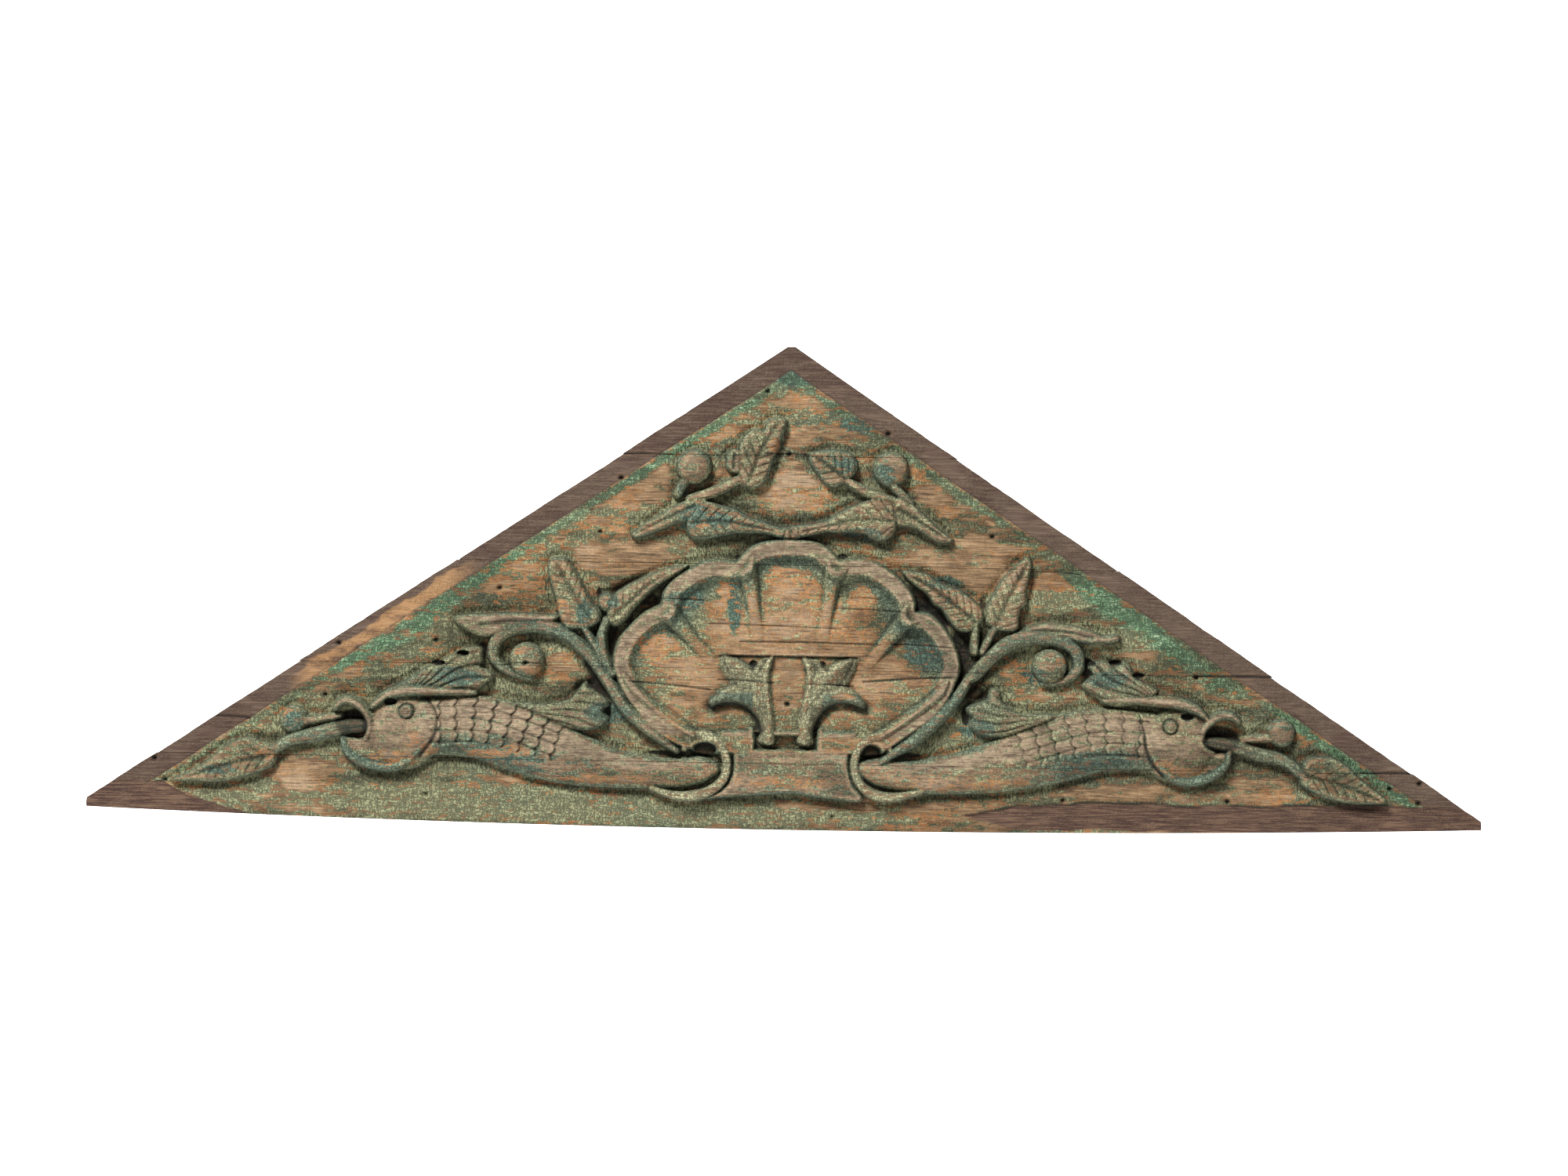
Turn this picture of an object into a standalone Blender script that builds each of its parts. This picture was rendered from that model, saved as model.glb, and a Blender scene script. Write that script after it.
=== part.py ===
# Carved wood pediment: a low triangular panel of edge-glued boards, with a shell, two fish and leafy
# sprays carved in their thickness. It faces -Y, its flat back lies on y = 0, and the origin is on the
# back, where the panel is held to its wall.

import math

import bmesh
import bpy
from mathutils import Matrix, Vector

MM = 0.001  # every size below is in millimetres

# Panel
PANEL_WIDTH = 1784.0  # tip to tip
PANEL_RISE = 593.0  # apex above the line through the two tips
BASE_BOW = 25.0  # how far the bottom edge sags below that line at mid-width
TIP_BLUNT = 10.0  # height of the blunt end at each tip
APEX_BLUNT = 1.0  # how much of the apex is worn away
GROUND_THICKNESS = 45.0
JOINT_GAP = 0.3
HELD_HEIGHT = 230.0  # height of the origin above the foot of the bottom edge

# Boards, from the bottom: the joints' heights above the tips as shares of the panel's rise, and how far
# the sloping ends stand proud in millimetres
BOARD_NAMES = ("bottom_board", "second_board", "third_board", "fourth_board", "peak_board")
JOINT_SHARES = (0.1012, 0.3035, 0.5278, 0.7622)
BOARD_PROUD = (1.2, 0.0, 2.0, 0.6, 2.2)

# Relief, measured out from the ground
RELIEF_ROOT = 18.0  # how deep each carved form is rooted below the ground
MOAT_DEPTH = 11.0
POCKET_DEPTH = 12.0
MOAT_HALF_WIDTH = 15.0
SHELL_RISE = 21.0
FLUTE_DEPTH = 9.0
SHELL_RIM_WIDTH = 16.0
SHELL_VALLEY_RADIUS = 238.0
SHELL_LOBE_BUMP = 20.0
SHELL_FOOT_RADIUS = 128.0  # where the lowest lobes run out behind the stems
SHELL_HEEL_RADIUS = 26.0
SHELL_RIDGE_ANGLES = (-96.0, -70.5, -43.0, -16.5, 16.5, 43.0, 70.5, 96.0)
SHELL_RIDGE_HALF_ANGLE = 2.2
TABLET_RISE = 19.0
VOLUTE_RISE = 23.0
VOLUTE_HALF_WIDTH = 4.5
BODY_RISE = 25.0
SCALE_STEP = 2.2
HEAD_RISE = 28.0
HEAD_RADIUS = 49.0
HEAD_DEPTH = 0.62  # depth of a head as a share of its width
SCALE_COLUMNS = 8  # rings of scales on a fish
BROW_RISE = 28.0
LIP_RISE = 24.0
EYE_RADIUS = 9.0
STEM_RISE = 19.0
TWIG_RISE = 15.0
TWIG_HALF_WIDTH = 4.5
LEAF_RISE = 20.0
FIN_RISE = 19.0
BERRY_RADIUS = 21.5
BERRY_RISE = 27.0
SMALL_BUD_RADIUS = 10.0
BUD_RADIUS = 17.0
BUD_RISE = 18.0
PALMETTE_RISE = 27.0
SPRAY_RISE = 18.0

# The carving is drawn on a panel of this size and follows the real one when that is resized
DRAWN_WIDTH = 1784.0
DRAWN_RISE = 593.0
DRAWN_TIP_HEIGHT = 25.0
SHELL_FOCUS = (2.0, 109.0)

WOOD_COLOUR = (0.16, 0.14, 0.09, 1.0)
WOOD_ROUGHNESS = 0.8

# Cross-sections of the carved forms, edge to edge: place across, share of the rise
DOME = ((-1.0, 0.35), (-0.45, 0.97), (0.45, 0.97), (1.0, 0.35))
CROWNED = ((-1.0, 0.35), (-0.6, 0.85), (0.0, 1.0), (0.6, 0.85), (1.0, 0.35))
CREASED = ((-1.0, 0.5), (-0.5, 1.0), (0.0, 0.72), (0.5, 1.0), (1.0, 0.5))
FLAT = ((-1.0, 1.0), (0.0, 1.0), (1.0, 1.0))
SCALED = ((-1.0, 0.35), (-0.6, 0.82), (-0.1, 1.0), (0.4, 0.95), (0.75, 0.72), (1.0, 0.35))


def clear_scene():
    for obj in list(bpy.data.objects):
        bpy.data.objects.remove(obj, do_unlink=True)


def new_collection(name):
    collection = bpy.data.collections.new(name)
    bpy.context.scene.collection.children.link(collection)
    return collection


def at(x, height, rise=0.0):
    """World place of a point of the drawing that stands out by rise from the ground."""
    above_tips = (height - DRAWN_TIP_HEIGHT) * PANEL_RISE / DRAWN_RISE
    return MM * Vector((
        x * PANEL_WIDTH / DRAWN_WIDTH,
        -(GROUND_THICKNESS + rise),
        BASE_BOW + above_tips - HELD_HEIGHT,
    ))


def smooth_path(points, count):
    """Points at even steps along a smooth curve through the given ones."""
    ends = [points[0]] + list(points) + [points[-1]]
    spots = []
    for step in range(count):
        place = step / (count - 1) * (len(points) - 1)
        leg = min(int(place), len(points) - 2)
        t = place - leg
        p0, p1, p2, p3 = (Vector(ends[leg + k]) for k in range(4))
        bend = 2 * p0 - 5 * p1 + 4 * p2 - p3
        twist = 3 * p1 - p0 - 3 * p2 + p3
        spots.append(0.5 * (2 * p1 + (p2 - p0) * t + bend * t * t + twist * t * t * t))
    return spots


def read_off(values, share):
    """The value at a share of the way along an evenly spaced list."""
    place = share * (len(values) - 1)
    leg = min(int(place), len(values) - 2)
    return values[leg] + (values[leg + 1] - values[leg]) * (place - leg)


def add_object(name, bm, collection):
    """Turns a bmesh into an object of the collection."""
    bmesh.ops.recalc_face_normals(bm, faces=bm.faces)
    mesh = bpy.data.meshes.new(name)
    bm.to_mesh(mesh)
    bm.free()
    obj = bpy.data.objects.new(name, mesh)
    collection.objects.link(obj)
    return obj


def loft(name, sections, collection):
    """A closed solid through sections of equally many points, capped at both ends."""
    bm = bmesh.new()
    rings = [[bm.verts.new(point) for point in section] for section in sections]
    for ring, following in zip(rings, rings[1:]):
        for i in range(len(ring)):
            j = (i + 1) % len(ring)
            bm.faces.new((ring[i], ring[j], following[j], following[i]))
    caps = [bm.faces.new(rings[0]), bm.faces.new(rings[-1])]
    bmesh.ops.poke(bm, faces=caps)
    bmesh.ops.triangulate(bm, faces=bm.faces)
    return add_object(name, bm, collection)


def ribbon(name, route, half_widths, rises, profile, count, collection, root=-RELIEF_ROOT):
    """A carved form along a route, with its width and rise read off along the way."""
    spots = smooth_path(route, count)
    sections = []
    for i, spot in enumerate(spots):
        along = (spots[min(i + 1, count - 1)] - spots[max(i - 1, 0)]).normalized()
        across = Vector((-along.y, along.x))
        half_width = read_off(half_widths, i / (count - 1))
        rise = read_off(rises, i / (count - 1))
        places = [(spot + across * half_width * u, rise * part) for u, part in profile]
        section = [at(p.x, p.y, height) for p, height in places]
        section.append(at(places[-1][0].x, places[-1][0].y, root))
        section.append(at(places[0][0].x, places[0][0].y, root))
        sections.append(section)
    return loft(name, sections, collection)


def ball(name, place, radius, top_rise, collection, width=1.0, tilt=0.0, depth=1.0, sides=10):
    """A ball or egg whose top stands at top_rise, its poles to the front and back."""
    bm = bmesh.new()
    bmesh.ops.create_uvsphere(bm, u_segments=sides, v_segments=sides // 2, radius=radius * MM)
    bmesh.ops.rotate(bm, verts=bm.verts, matrix=Matrix.Rotation(math.radians(90.0), 3, "X"))
    bmesh.ops.scale(bm, verts=bm.verts, vec=(width, depth, 1.0))
    bmesh.ops.rotate(bm, verts=bm.verts, matrix=Matrix.Rotation(math.radians(tilt), 3, "Y"))
    bmesh.ops.translate(bm, verts=bm.verts, vec=at(*place, top_rise - radius * depth))
    return add_object(name, bm, collection)


def shell_radius(angle):
    """The shell's edge at an angle from upright: round lobes between the valleys."""
    outermost = SHELL_RIDGE_ANGLES[-2]
    if abs(angle) > outermost:
        share = (abs(angle) - outermost) / (SHELL_RIDGE_ANGLES[-1] - outermost)
        return SHELL_VALLEY_RADIUS + (SHELL_FOOT_RADIUS - SHELL_VALLEY_RADIUS) * share
    for left, right in zip(SHELL_RIDGE_ANGLES, SHELL_RIDGE_ANGLES[1:]):
        if left <= angle <= right:
            across = 2 * (angle - left) / (right - left) - 1
            return SHELL_VALLEY_RADIUS + SHELL_LOBE_BUMP * math.sqrt(max(0.0, 1 - across ** 2))
    return SHELL_VALLEY_RADIUS


def shell_section(angle, hollow):
    """One radial section of the shell, from the heel to the edge and back below the ground."""
    edge = shell_radius(angle)
    floor = SHELL_RISE - 1.0 - FLUTE_DEPTH * hollow
    inner = edge - SHELL_RIM_WIDTH
    steps = (
        (SHELL_HEEL_RADIUS, 8.0),
        (inner * 0.4, 12.0 - 2.0 * hollow),
        (inner * 0.7, floor),
        (inner, SHELL_RISE),
        (edge - 3.0, SHELL_RISE),
        (edge, SHELL_RISE - 5.0),
        (edge, -RELIEF_ROOT),
        (SHELL_HEEL_RADIUS, -RELIEF_ROOT),
    )
    turn = math.radians(angle)
    x, height = SHELL_FOCUS
    return [at(x + r * math.sin(turn), height + r * math.cos(turn), rise) for r, rise in steps]


def shell(collection):
    """The scallop: flutes between ridges, inside a plain lobed rim."""
    sections = []
    for left, right in zip(SHELL_RIDGE_ANGLES, SHELL_RIDGE_ANGLES[1:]):
        start = left + SHELL_RIDGE_HALF_ANGLE
        end = right - SHELL_RIDGE_HALF_ANGLE
        sections.append(shell_section(left + 0.01, 0.0))
        for part, hollow in ((0.0, 0.05), (0.15, 0.8), (0.5, 1.0), (0.85, 0.8), (1.0, 0.05)):
            sections.append(shell_section(start + (end - start) * part, hollow))
    sections.append(shell_section(SHELL_RIDGE_ANGLES[-1], 0.0))
    return loft("shell", sections, collection)


def moat(collection):
    """The trench sunk round the shell."""
    x, height = SHELL_FOCUS
    reach = SHELL_VALLEY_RADIUS + SHELL_LOBE_BUMP * 0.6 + MOAT_HALF_WIDTH * 0.6
    route = []
    for angle in range(-84, 85, 12):
        turn = math.radians(angle)
        route.append((x + reach * math.sin(turn), height + reach * math.cos(turn)))
    widths = (MOAT_HALF_WIDTH,) * 2
    return ribbon("moat", route, widths, (RELIEF_ROOT,) * 2, FLAT, 20, collection, -MOAT_DEPTH)


def pocket(name, place, radius, collection, width=1.0, tilt=0.0):
    """A round hollow sunk from the ground."""
    depth = POCKET_DEPTH / radius
    ball(name, place, radius, POCKET_DEPTH, collection, width=width, tilt=tilt, depth=depth, sides=8)


def palmette(side, shift, collection):
    """A palmette at the foot of the shell: two upright leaves and one that curls over outwards."""
    forms = (
        ("outer", ((27, 116), (30, 150), (46, 184), (84, 216)), (8, 12, 19, 5)),
        ("inner", ((27, 116), (25, 150), (29, 184), (24, 216)), (8, 11, 12, 6)),
        ("curl", ((27, 116), (38, 150), (60, 173), (92, 167)), (8, 11, 13, 5)),
    )
    rises = [PALMETTE_RISE * share for share in (0.9, 1.0, 1.0, 0.8)]
    for name, route, widths in forms:
        placed = [(shift + side * x, height) for x, height in route]
        ribbon("palmette_" + name, placed, widths, rises, CREASED, 5, collection)


def tablet(collection):
    """The plain block between the two volutes, under the palmettes."""
    route = ((-76, 84), (-40, 86), (3, 88), (46, 86), (88, 83))
    return ribbon("tablet", route, (38, 38, 37, 38, 38), (TABLET_RISE,) * 2, FLAT, 5, collection)


def volute(route, collection):
    """The narrow band that hooks round the end of a tail."""
    widths = (VOLUTE_HALF_WIDTH, VOLUTE_HALF_WIDTH, VOLUTE_HALF_WIDTH * 0.9, VOLUTE_HALF_WIDTH * 0.6)
    return ribbon("volute", route, widths, (VOLUTE_RISE,) * 2, DOME, 13, collection)


def scaled_body(route, widths, collection):
    """A fish's body: overlapping rings of scales over its front part, then the plain tail."""
    plain = 5
    spots = smooth_path(route, SCALE_COLUMNS + plain)
    sections = []
    for i, spot in enumerate(spots):
        along = (spots[min(i + 1, len(spots) - 1)] - spots[max(i - 1, 0)]).normalized()
        across = Vector((-along.y, along.x))
        share = i / (len(spots) - 1)
        half_width = read_off(widths, share)
        top = read_off((BODY_RISE, BODY_RISE, BODY_RISE, BODY_RISE * 0.9, BODY_RISE * 0.72), share)
        drops = (0.0, SCALE_STEP) if 0 < i <= SCALE_COLUMNS else (0.0,)
        for drop in drops:
            place = spot + along * drop
            edge = [(place + across * half_width * u, (top - drop) * part) for u, part in SCALED]
            section = [at(p.x, p.y, rise) for p, rise in edge]
            section.append(at(edge[-1][0].x, edge[-1][0].y, -RELIEF_ROOT))
            section.append(at(edge[0][0].x, edge[0][0].y, -RELIEF_ROOT))
            sections.append(section)
    return loft("body", sections, collection)


def fan(name, root, tips, root_half_width, collection):
    """A ribbed fin: pointed lobes that spread from one root."""
    rises = (FIN_RISE, FIN_RISE, FIN_RISE * 0.8)
    widths = (root_half_width, root_half_width * 1.15, 3.0)
    for number, tip in enumerate(tips):
        middle = ((root[0] + tip[0]) / 2, (root[1] + tip[1]) / 2)
        ribbon(name + str(number), (root, middle, tip), widths, rises, CREASED, 3, collection)


def fish(body, body_widths, head, lip, jaw, brow, eye, collection):
    """A fish that lies along the foot of the panel, its tail in the volute and a stem in its mouth."""
    scaled_body(body, body_widths, collection)
    ball("head", head, HEAD_RADIUS, HEAD_RISE, collection, depth=HEAD_DEPTH)
    ribbon("jaw", jaw, (4, 6, 6, 5, 4), (17, 20, 20, 19, 17), DOME, 8, collection)
    ribbon("lip", lip, (3, 5, 5.5, 5, 4), (17, 22, LIP_RISE, 22, 16), DOME, 7, collection)
    ribbon("brow", brow, (3, 7, 7.5, 6, 2), (20, BROW_RISE, BROW_RISE, 24, 16), DOME, 6, collection)
    ball("eye", eye, EYE_RADIUS, HEAD_RISE + 4.0, collection, depth=0.7, sides=8)


def build_fish(collection):
    fish(
        ((-462, 124), (-426, 126), (-388, 124), (-346, 113), (-304, 98), (-262, 85), (-200, 74),
         (-140, 69), (-88, 76)),
        (37, 38, 40, 42, 38, 34, 25, 18, 9),
        (-487, 117),
        ((-574, 147), (-561, 157), (-542, 154), (-529, 140), (-526, 122), (-531, 107)),
        ((-563, 108), (-558, 91), (-540, 77), (-512, 70), (-484, 76), (-462, 96), (-447, 122)),
        ((-520, 149), (-508, 164), (-480, 173), (-440, 175), (-396, 171)),
        (-482, 144), collection,
    )
    fish(
        ((474, 120), (436, 123), (396, 121), (354, 111), (310, 97), (268, 85), (210, 76),
         (150, 71), (92, 80)),
        (38, 40, 41, 42, 38, 34, 26, 19, 10),
        (503, 116),
        ((580, 150), (565, 158), (547, 153), (534, 138), (530, 120), (537, 105)),
        ((569, 110), (564, 93), (548, 77), (522, 69), (494, 74), (472, 92), (457, 120)),
        ((535, 153), (522, 165), (495, 175), (455, 178), (408, 172)),
        (490, 141), collection,
    )
    volute(((-124, 106), (-112, 118), (-92, 118), (-77, 104), (-72, 84), (-79, 60), (-100, 46),
            (-130, 44), (-164, 51)), collection)
    volute(((131, 112), (118, 121), (101, 115), (91, 100), (88, 80), (96, 58), (114, 46),
            (142, 46), (172, 53)), collection)
    fan("dorsal_left", (-312, 150), ((-256, 182), (-223, 160), (-229, 137)), 13, collection)
    fan("dorsal_right", (304, 144), ((262, 183), (232, 159), (242, 135)), 13, collection)
    fan("crest_left", (-446, 184), ((-410, 224), (-390, 214), (-376, 194)), 11, collection)
    fan("crest_right", (430, 176), ((394, 218), (430, 218), (468, 190)), 11, collection)


def scroll(stem, leaf, berry, collection):
    """The main stem on one side, which arches over a berry, and the leaf that flies off its crown."""
    rises = (17, STEM_RISE + 5, STEM_RISE, STEM_RISE)
    ribbon("stem", stem, (4, 7, 7, 7, 8, 9, 7, 5), rises, DOME, 21, collection)
    ribbon("tail_leaf", leaf, (5, 11, 13, 3), (16, LEAF_RISE, LEAF_RISE, 13), DOME, 6, collection)
    ball("berry", berry, BERRY_RADIUS, BERRY_RISE, collection)


def leaf_pair(upright, upright_widths, leaning, leaning_widths, bud, collection):
    """The upright leaf and the one that leans to the shell, over the scroll."""
    rises = (15, LEAF_RISE, LEAF_RISE, 12)
    ribbon("upright_leaf", upright, upright_widths, rises, CREASED, 7, collection)
    ribbon("leaning_leaf", leaning, leaning_widths, rises, CREASED, 7, collection)
    if bud:
        ball("bud", bud, SMALL_BUD_RADIUS, LEAF_RISE + 3.0, collection, depth=1.8, sides=8)


def twig(route, collection):
    ribbon("twig", route, (TWIG_HALF_WIDTH,) * 2, (TWIG_RISE,) * 2, DOME, 4, collection)


def side_sprays(collection):
    scroll(
        ((-138, 100), (-172, 120), (-202, 148), (-224, 182), (-248, 215), (-278, 243), (-312, 256),
         (-348, 252), (-372, 236), (-372, 212), (-352, 195), (-326, 191)),
        ((-298, 258), (-335, 262), (-375, 256), (-417, 262)),
        (-331, 212), collection,
    )
    scroll(
        ((134, 97), (165, 117), (196, 144), (220, 176), (243, 205), (268, 232), (300, 250), (338, 249),
         (366, 236), (374, 214), (354, 196), (328, 193)),
        ((303, 262), (340, 263), (380, 253), (419, 254)),
        (336, 215), collection,
    )
    leaf_pair(
        ((-256, 256), (-264, 285), (-280, 312), (-297, 340)), (13, 23, 18, 5),
        ((-214, 258), (-198, 285), (-170, 312), (-131, 333)), (8, 15, 10, 3),
        (-230, 288), collection,
    )
    leaf_pair(
        ((277, 261), (280, 290), (291, 318), (309, 350)), (17, 22, 15, 4),
        ((246, 270), (220, 281), (190, 306), (150, 332)), (8, 20, 15, 3),
        None, collection,
    )
    twig(((-228, 200), (-241, 225), (-256, 250), (-264, 262)), collection)
    twig(((-222, 196), (-234, 222), (-236, 245), (-228, 266)), collection)
    twig(((240, 232), (242, 248), (240, 268)), collection)
    twig(((250, 232), (258, 248), (268, 268)), collection)


def top_sprays(collection):
    """The two sprays under the apex, joined at mid-width over the shell."""
    low = (10, SPRAY_RISE, SPRAY_RISE, 12)
    high = (14, LEAF_RISE, LEAF_RISE, 12)
    ribbon("cup_left", ((-128, 391), (-108, 392), (-80, 393), (-48, 388), (-20, 381), (3, 382)),
           (19, 24, 18, 11, 8, 9), (17, 24, 20, 16), CROWNED, 8, collection)
    ribbon("cup_right", ((135, 401), (114, 396), (86, 397), (52, 390), (24, 383), (2, 382)),
           (19, 25, 17, 10, 8, 9), (17, 24, 20, 16), CROWNED, 8, collection)
    leaves = (
        ("pointed_leaf", ((-122, 414), (-146, 404), (-170, 388), (-196, 374)), (8, 12, 10, 2)),
        ("long_leaf", ((128, 420), (156, 406), (180, 390), (207, 374)), (9, 13, 12, 2)),
        ("leaf_left", ((-58, 440), (-52, 462), (-38, 490), (-14, 521)), (12, 22, 19, 6)),
        ("leaf_right", ((67, 438), (61, 454), (50, 470), (34, 483)), (10, 22, 24, 10)),
    )
    for name, route, widths in leaves:
        ribbon(name, route, widths, high, CREASED, 6, collection)
    twigs = (
        ("branch_left", ((-126, 420), (-96, 430), (-72, 442), (-56, 452)), (6, 7, 6, 5)),
        ("branch_right", ((70, 450), (90, 437), (112, 427), (134, 420)), (5, 6, 7, 7)),
        ("stub_left", ((-127, 452), (-135, 440), (-142, 427)), (6, 6, 6)),
        ("stub_right", ((128, 452), (136, 438), (152, 420)), (6, 6, 6)),
    )
    for name, route, widths in twigs:
        ribbon(name, route, widths, low, DOME, 5, collection)
    ball("top_berry_left", (-122, 462), BERRY_RADIUS, BERRY_RISE, collection)
    ball("top_berry_right", (129, 463), BERRY_RADIUS, BERRY_RISE, collection)


def end_spray(side, stem, leaf, leaf_widths, bud, collection):
    """The spray that grows from a fish's mouth into the corner of the panel."""
    ribbon("mouth_stem", stem, (5, 6.5, 6.5, 6.5, 6), (10, 15, SPRAY_RISE, 16), DOME, 8, collection)
    ribbon("corner_leaf", leaf, leaf_widths, (13, SPRAY_RISE, SPRAY_RISE, 9), CREASED, 7, collection)
    ball("corner_bud", bud, BUD_RADIUS, BUD_RISE, collection, width=1.15, tilt=side * 12.0)
    ribbon("bud_stalk", ((bud[0] - side * 12, bud[1] - 2), (bud[0] - side * 40, bud[1] + 4)),
           (7, 5), (14, 8), DOME, 3, collection)


def end_sprays(collection):
    end_spray(
        -1, ((-527, 122), (-565, 119), (-600, 109), (-632, 104), (-658, 86)),
        ((-655, 82), (-690, 80), (-730, 68), (-776, 53)), (10, 25, 17, 3), (-627, 131), collection,
    )
    end_spray(
        1, ((536, 121), (572, 115), (602, 106), (636, 100), (662, 80)),
        ((662, 84), (692, 80), (726, 66), (764, 51)), (10, 25, 20, 3), (634, 135), collection,
    )


def hollows(collection):
    """What is sunk below the ground."""
    moat(collection)
    for name, side, middle in (("left", -1, 0.0), ("right", 1, 4.0)):
        pocket("slot_" + name, (middle + side * 20, 114), 15.0, collection, width=1.4)
        pocket("mouth_" + name, (middle + side * 550, 128), 20.0, collection, width=1.1)
        under_stem = (middle + side * 245, 172)
        pocket("scroll_pocket_" + name, under_stem, 14.0, collection, width=1.5, tilt=-20 * side)
        pocket("volute_pocket_" + name, (middle + side * 106, 103), 14.0, collection)
    pocket("crest_pocket_left", (-446, 205), 9.0, collection, width=1.6, tilt=-35.0)
    pocket("crest_pocket_right", (414, 220), 9.0, collection, width=1.6, tilt=35.0)


def relief(collection):
    """Everything that stands out from the ground."""
    shell(collection)
    tablet(collection)
    palmette(-1, -1.0, collection)
    palmette(1, 6.0, collection)
    build_fish(collection)
    side_sprays(collection)
    top_sprays(collection)
    end_sprays(collection)


def fused(name, parts, collection):
    """One solid made of all the overlapping solids of a collection."""
    base = bpy.data.objects.new(name, parts.objects[0].data)
    collection.objects.link(base)
    union = base.modifiers.new("union", "BOOLEAN")
    union.operation = "UNION"
    union.solver = "MANIFOLD"
    union.operand_type = "COLLECTION"
    union.collection = parts
    bpy.data.objects.remove(parts.objects[0], do_unlink=True)
    depsgraph = bpy.context.evaluated_depsgraph_get()
    mesh = bpy.data.meshes.new_from_object(base.evaluated_get(depsgraph))
    base.modifiers.clear()
    base.data = mesh
    for part in list(parts.objects):
        bpy.data.objects.remove(part, do_unlink=True)
    base.hide_render = True
    base.display_type = "WIRE"
    return base


def band_edges(number):
    """The heights of a board's lower and upper long edges, in the drawing."""
    joints = [DRAWN_TIP_HEIGHT + share * DRAWN_RISE for share in JOINT_SHARES]
    foot = DRAWN_TIP_HEIGHT - 2 * BASE_BOW
    crown = DRAWN_TIP_HEIGHT + 1.1 * DRAWN_RISE
    lower = joints[number - 1] + JOINT_GAP / 2 if number else foot
    upper = joints[number] - JOINT_GAP / 2 if number < len(joints) else crown
    return lower, upper


def board_outline(proud):
    """The triangle of the panel, its rakes moved out by proud, with a bowed foot and blunt corners."""
    half = DRAWN_WIDTH / 2
    pitch = DRAWN_RISE / half
    crown = DRAWN_TIP_HEIGHT + DRAWN_RISE - APEX_BLUNT
    apex_half = (APEX_BLUNT + proud) / pitch
    points = [(apex_half, crown), (-apex_half, crown)]
    rake_foot = DRAWN_TIP_HEIGHT + proud
    points.append((-half, rake_foot))
    steps = 16
    for step in range(steps + 1):
        x = -half + DRAWN_WIDTH * step / steps
        bow = 1 - abs(x / half) ** 2
        points.append((x, DRAWN_TIP_HEIGHT - TIP_BLUNT - (BASE_BOW - TIP_BLUNT) * bow))
    points.append((half, rake_foot))
    return points


def blank(name, proud, collection):
    """A board's outline, extruded through the ground's thickness."""
    curve = bpy.data.curves.new(name, "CURVE")
    curve.dimensions = "2D"
    curve.fill_mode = "BOTH"
    curve.extrude = GROUND_THICKNESS / 2 * MM
    spline = curve.splines.new("POLY")
    points = board_outline(proud)
    spline.points.add(len(points) - 1)
    for spot, (x, height) in zip(spline.points, points):
        place = at(x, height)
        spot.co = (place.x, place.z, 0.0, 1.0)
    spline.use_cyclic_u = True
    flat = bpy.data.objects.new(name + "_curve", curve)
    collection.objects.link(flat)
    flat.rotation_euler = (math.radians(90.0), 0.0, 0.0)
    flat.location = (0.0, -GROUND_THICKNESS / 2 * MM, 0.0)
    bpy.context.view_layer.update()
    depsgraph = bpy.context.evaluated_depsgraph_get()
    mesh = bpy.data.meshes.new_from_object(flat.evaluated_get(depsgraph))
    mesh.transform(flat.matrix_world)
    bpy.data.objects.remove(flat, do_unlink=True)
    bm = bmesh.new()
    bm.from_mesh(mesh)
    bmesh.ops.remove_doubles(bm, verts=bm.verts, dist=0.0001)
    return add_object(name, bm, collection)


def band(name, number, collection):
    """A box as tall as a board, to trim it to its two joints."""
    lower, upper = band_edges(number)
    low = at(-DRAWN_WIDTH, lower, 4 * RELIEF_ROOT)
    high = at(DRAWN_WIDTH, upper, -2 * GROUND_THICKNESS)
    bm = bmesh.new()
    bmesh.ops.create_cube(bm, size=1.0)
    bmesh.ops.scale(bm, verts=bm.verts, vec=high - low)
    bmesh.ops.translate(bm, verts=bm.verts, vec=(high + low) / 2)
    box = add_object(name, bm, collection)
    box.hide_render = True
    box.display_type = "WIRE"
    return box


def add_boolean(obj, operation, cutter):
    modifier = obj.modifiers.new(operation.lower(), "BOOLEAN")
    modifier.operation = operation
    modifier.solver = "MANIFOLD"
    modifier.object = cutter


def wood_material():
    material = bpy.data.materials.new("painted_pine")
    material.use_nodes = True
    shader = material.node_tree.nodes["Principled BSDF"]
    shader.inputs["Base Color"].default_value = WOOD_COLOUR
    shader.inputs["Roughness"].default_value = WOOD_ROUGHNESS
    shader.inputs["Metallic"].default_value = 0.0
    return material


def main():
    clear_scene()
    parts = new_collection("carved_wood_pediment")
    cutters = new_collection("cutters")
    raised_forms = new_collection("raised_forms")
    sunk_forms = new_collection("sunk_forms")
    relief(raised_forms)
    hollows(sunk_forms)
    carved = fused("carved_relief", raised_forms, cutters)
    sunk = fused("sunk_hollows", sunk_forms, cutters)
    material = wood_material()
    for number, name in enumerate(BOARD_NAMES):
        board = blank(name, BOARD_PROUD[number], parts)
        board.data.materials.append(material.copy())
        add_boolean(board, "DIFFERENCE", sunk)
        add_boolean(board, "UNION", carved)
        add_boolean(board, "INTERSECT", band(name + "_band", number, cutters))


main()
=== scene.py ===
"""Carved wood pediment: five edge-glued boards with a shell, two fish and leafy sprays in relief.

The face of the whole panel is worked out first, as a map of heights, of wear and of painted shade and
highlights over the drawing, and each board is then a mesh that follows the part of the map it covers.
All lengths are in millimetres in the drawing: x to the right of mid-width, z above the foot, heights
out from the ground.
"""

import logging
import math
from dataclasses import dataclass
from enum import Enum
from typing import Sequence

import bpy
import numpy as np
from mathutils import Matrix, Vector


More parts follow.
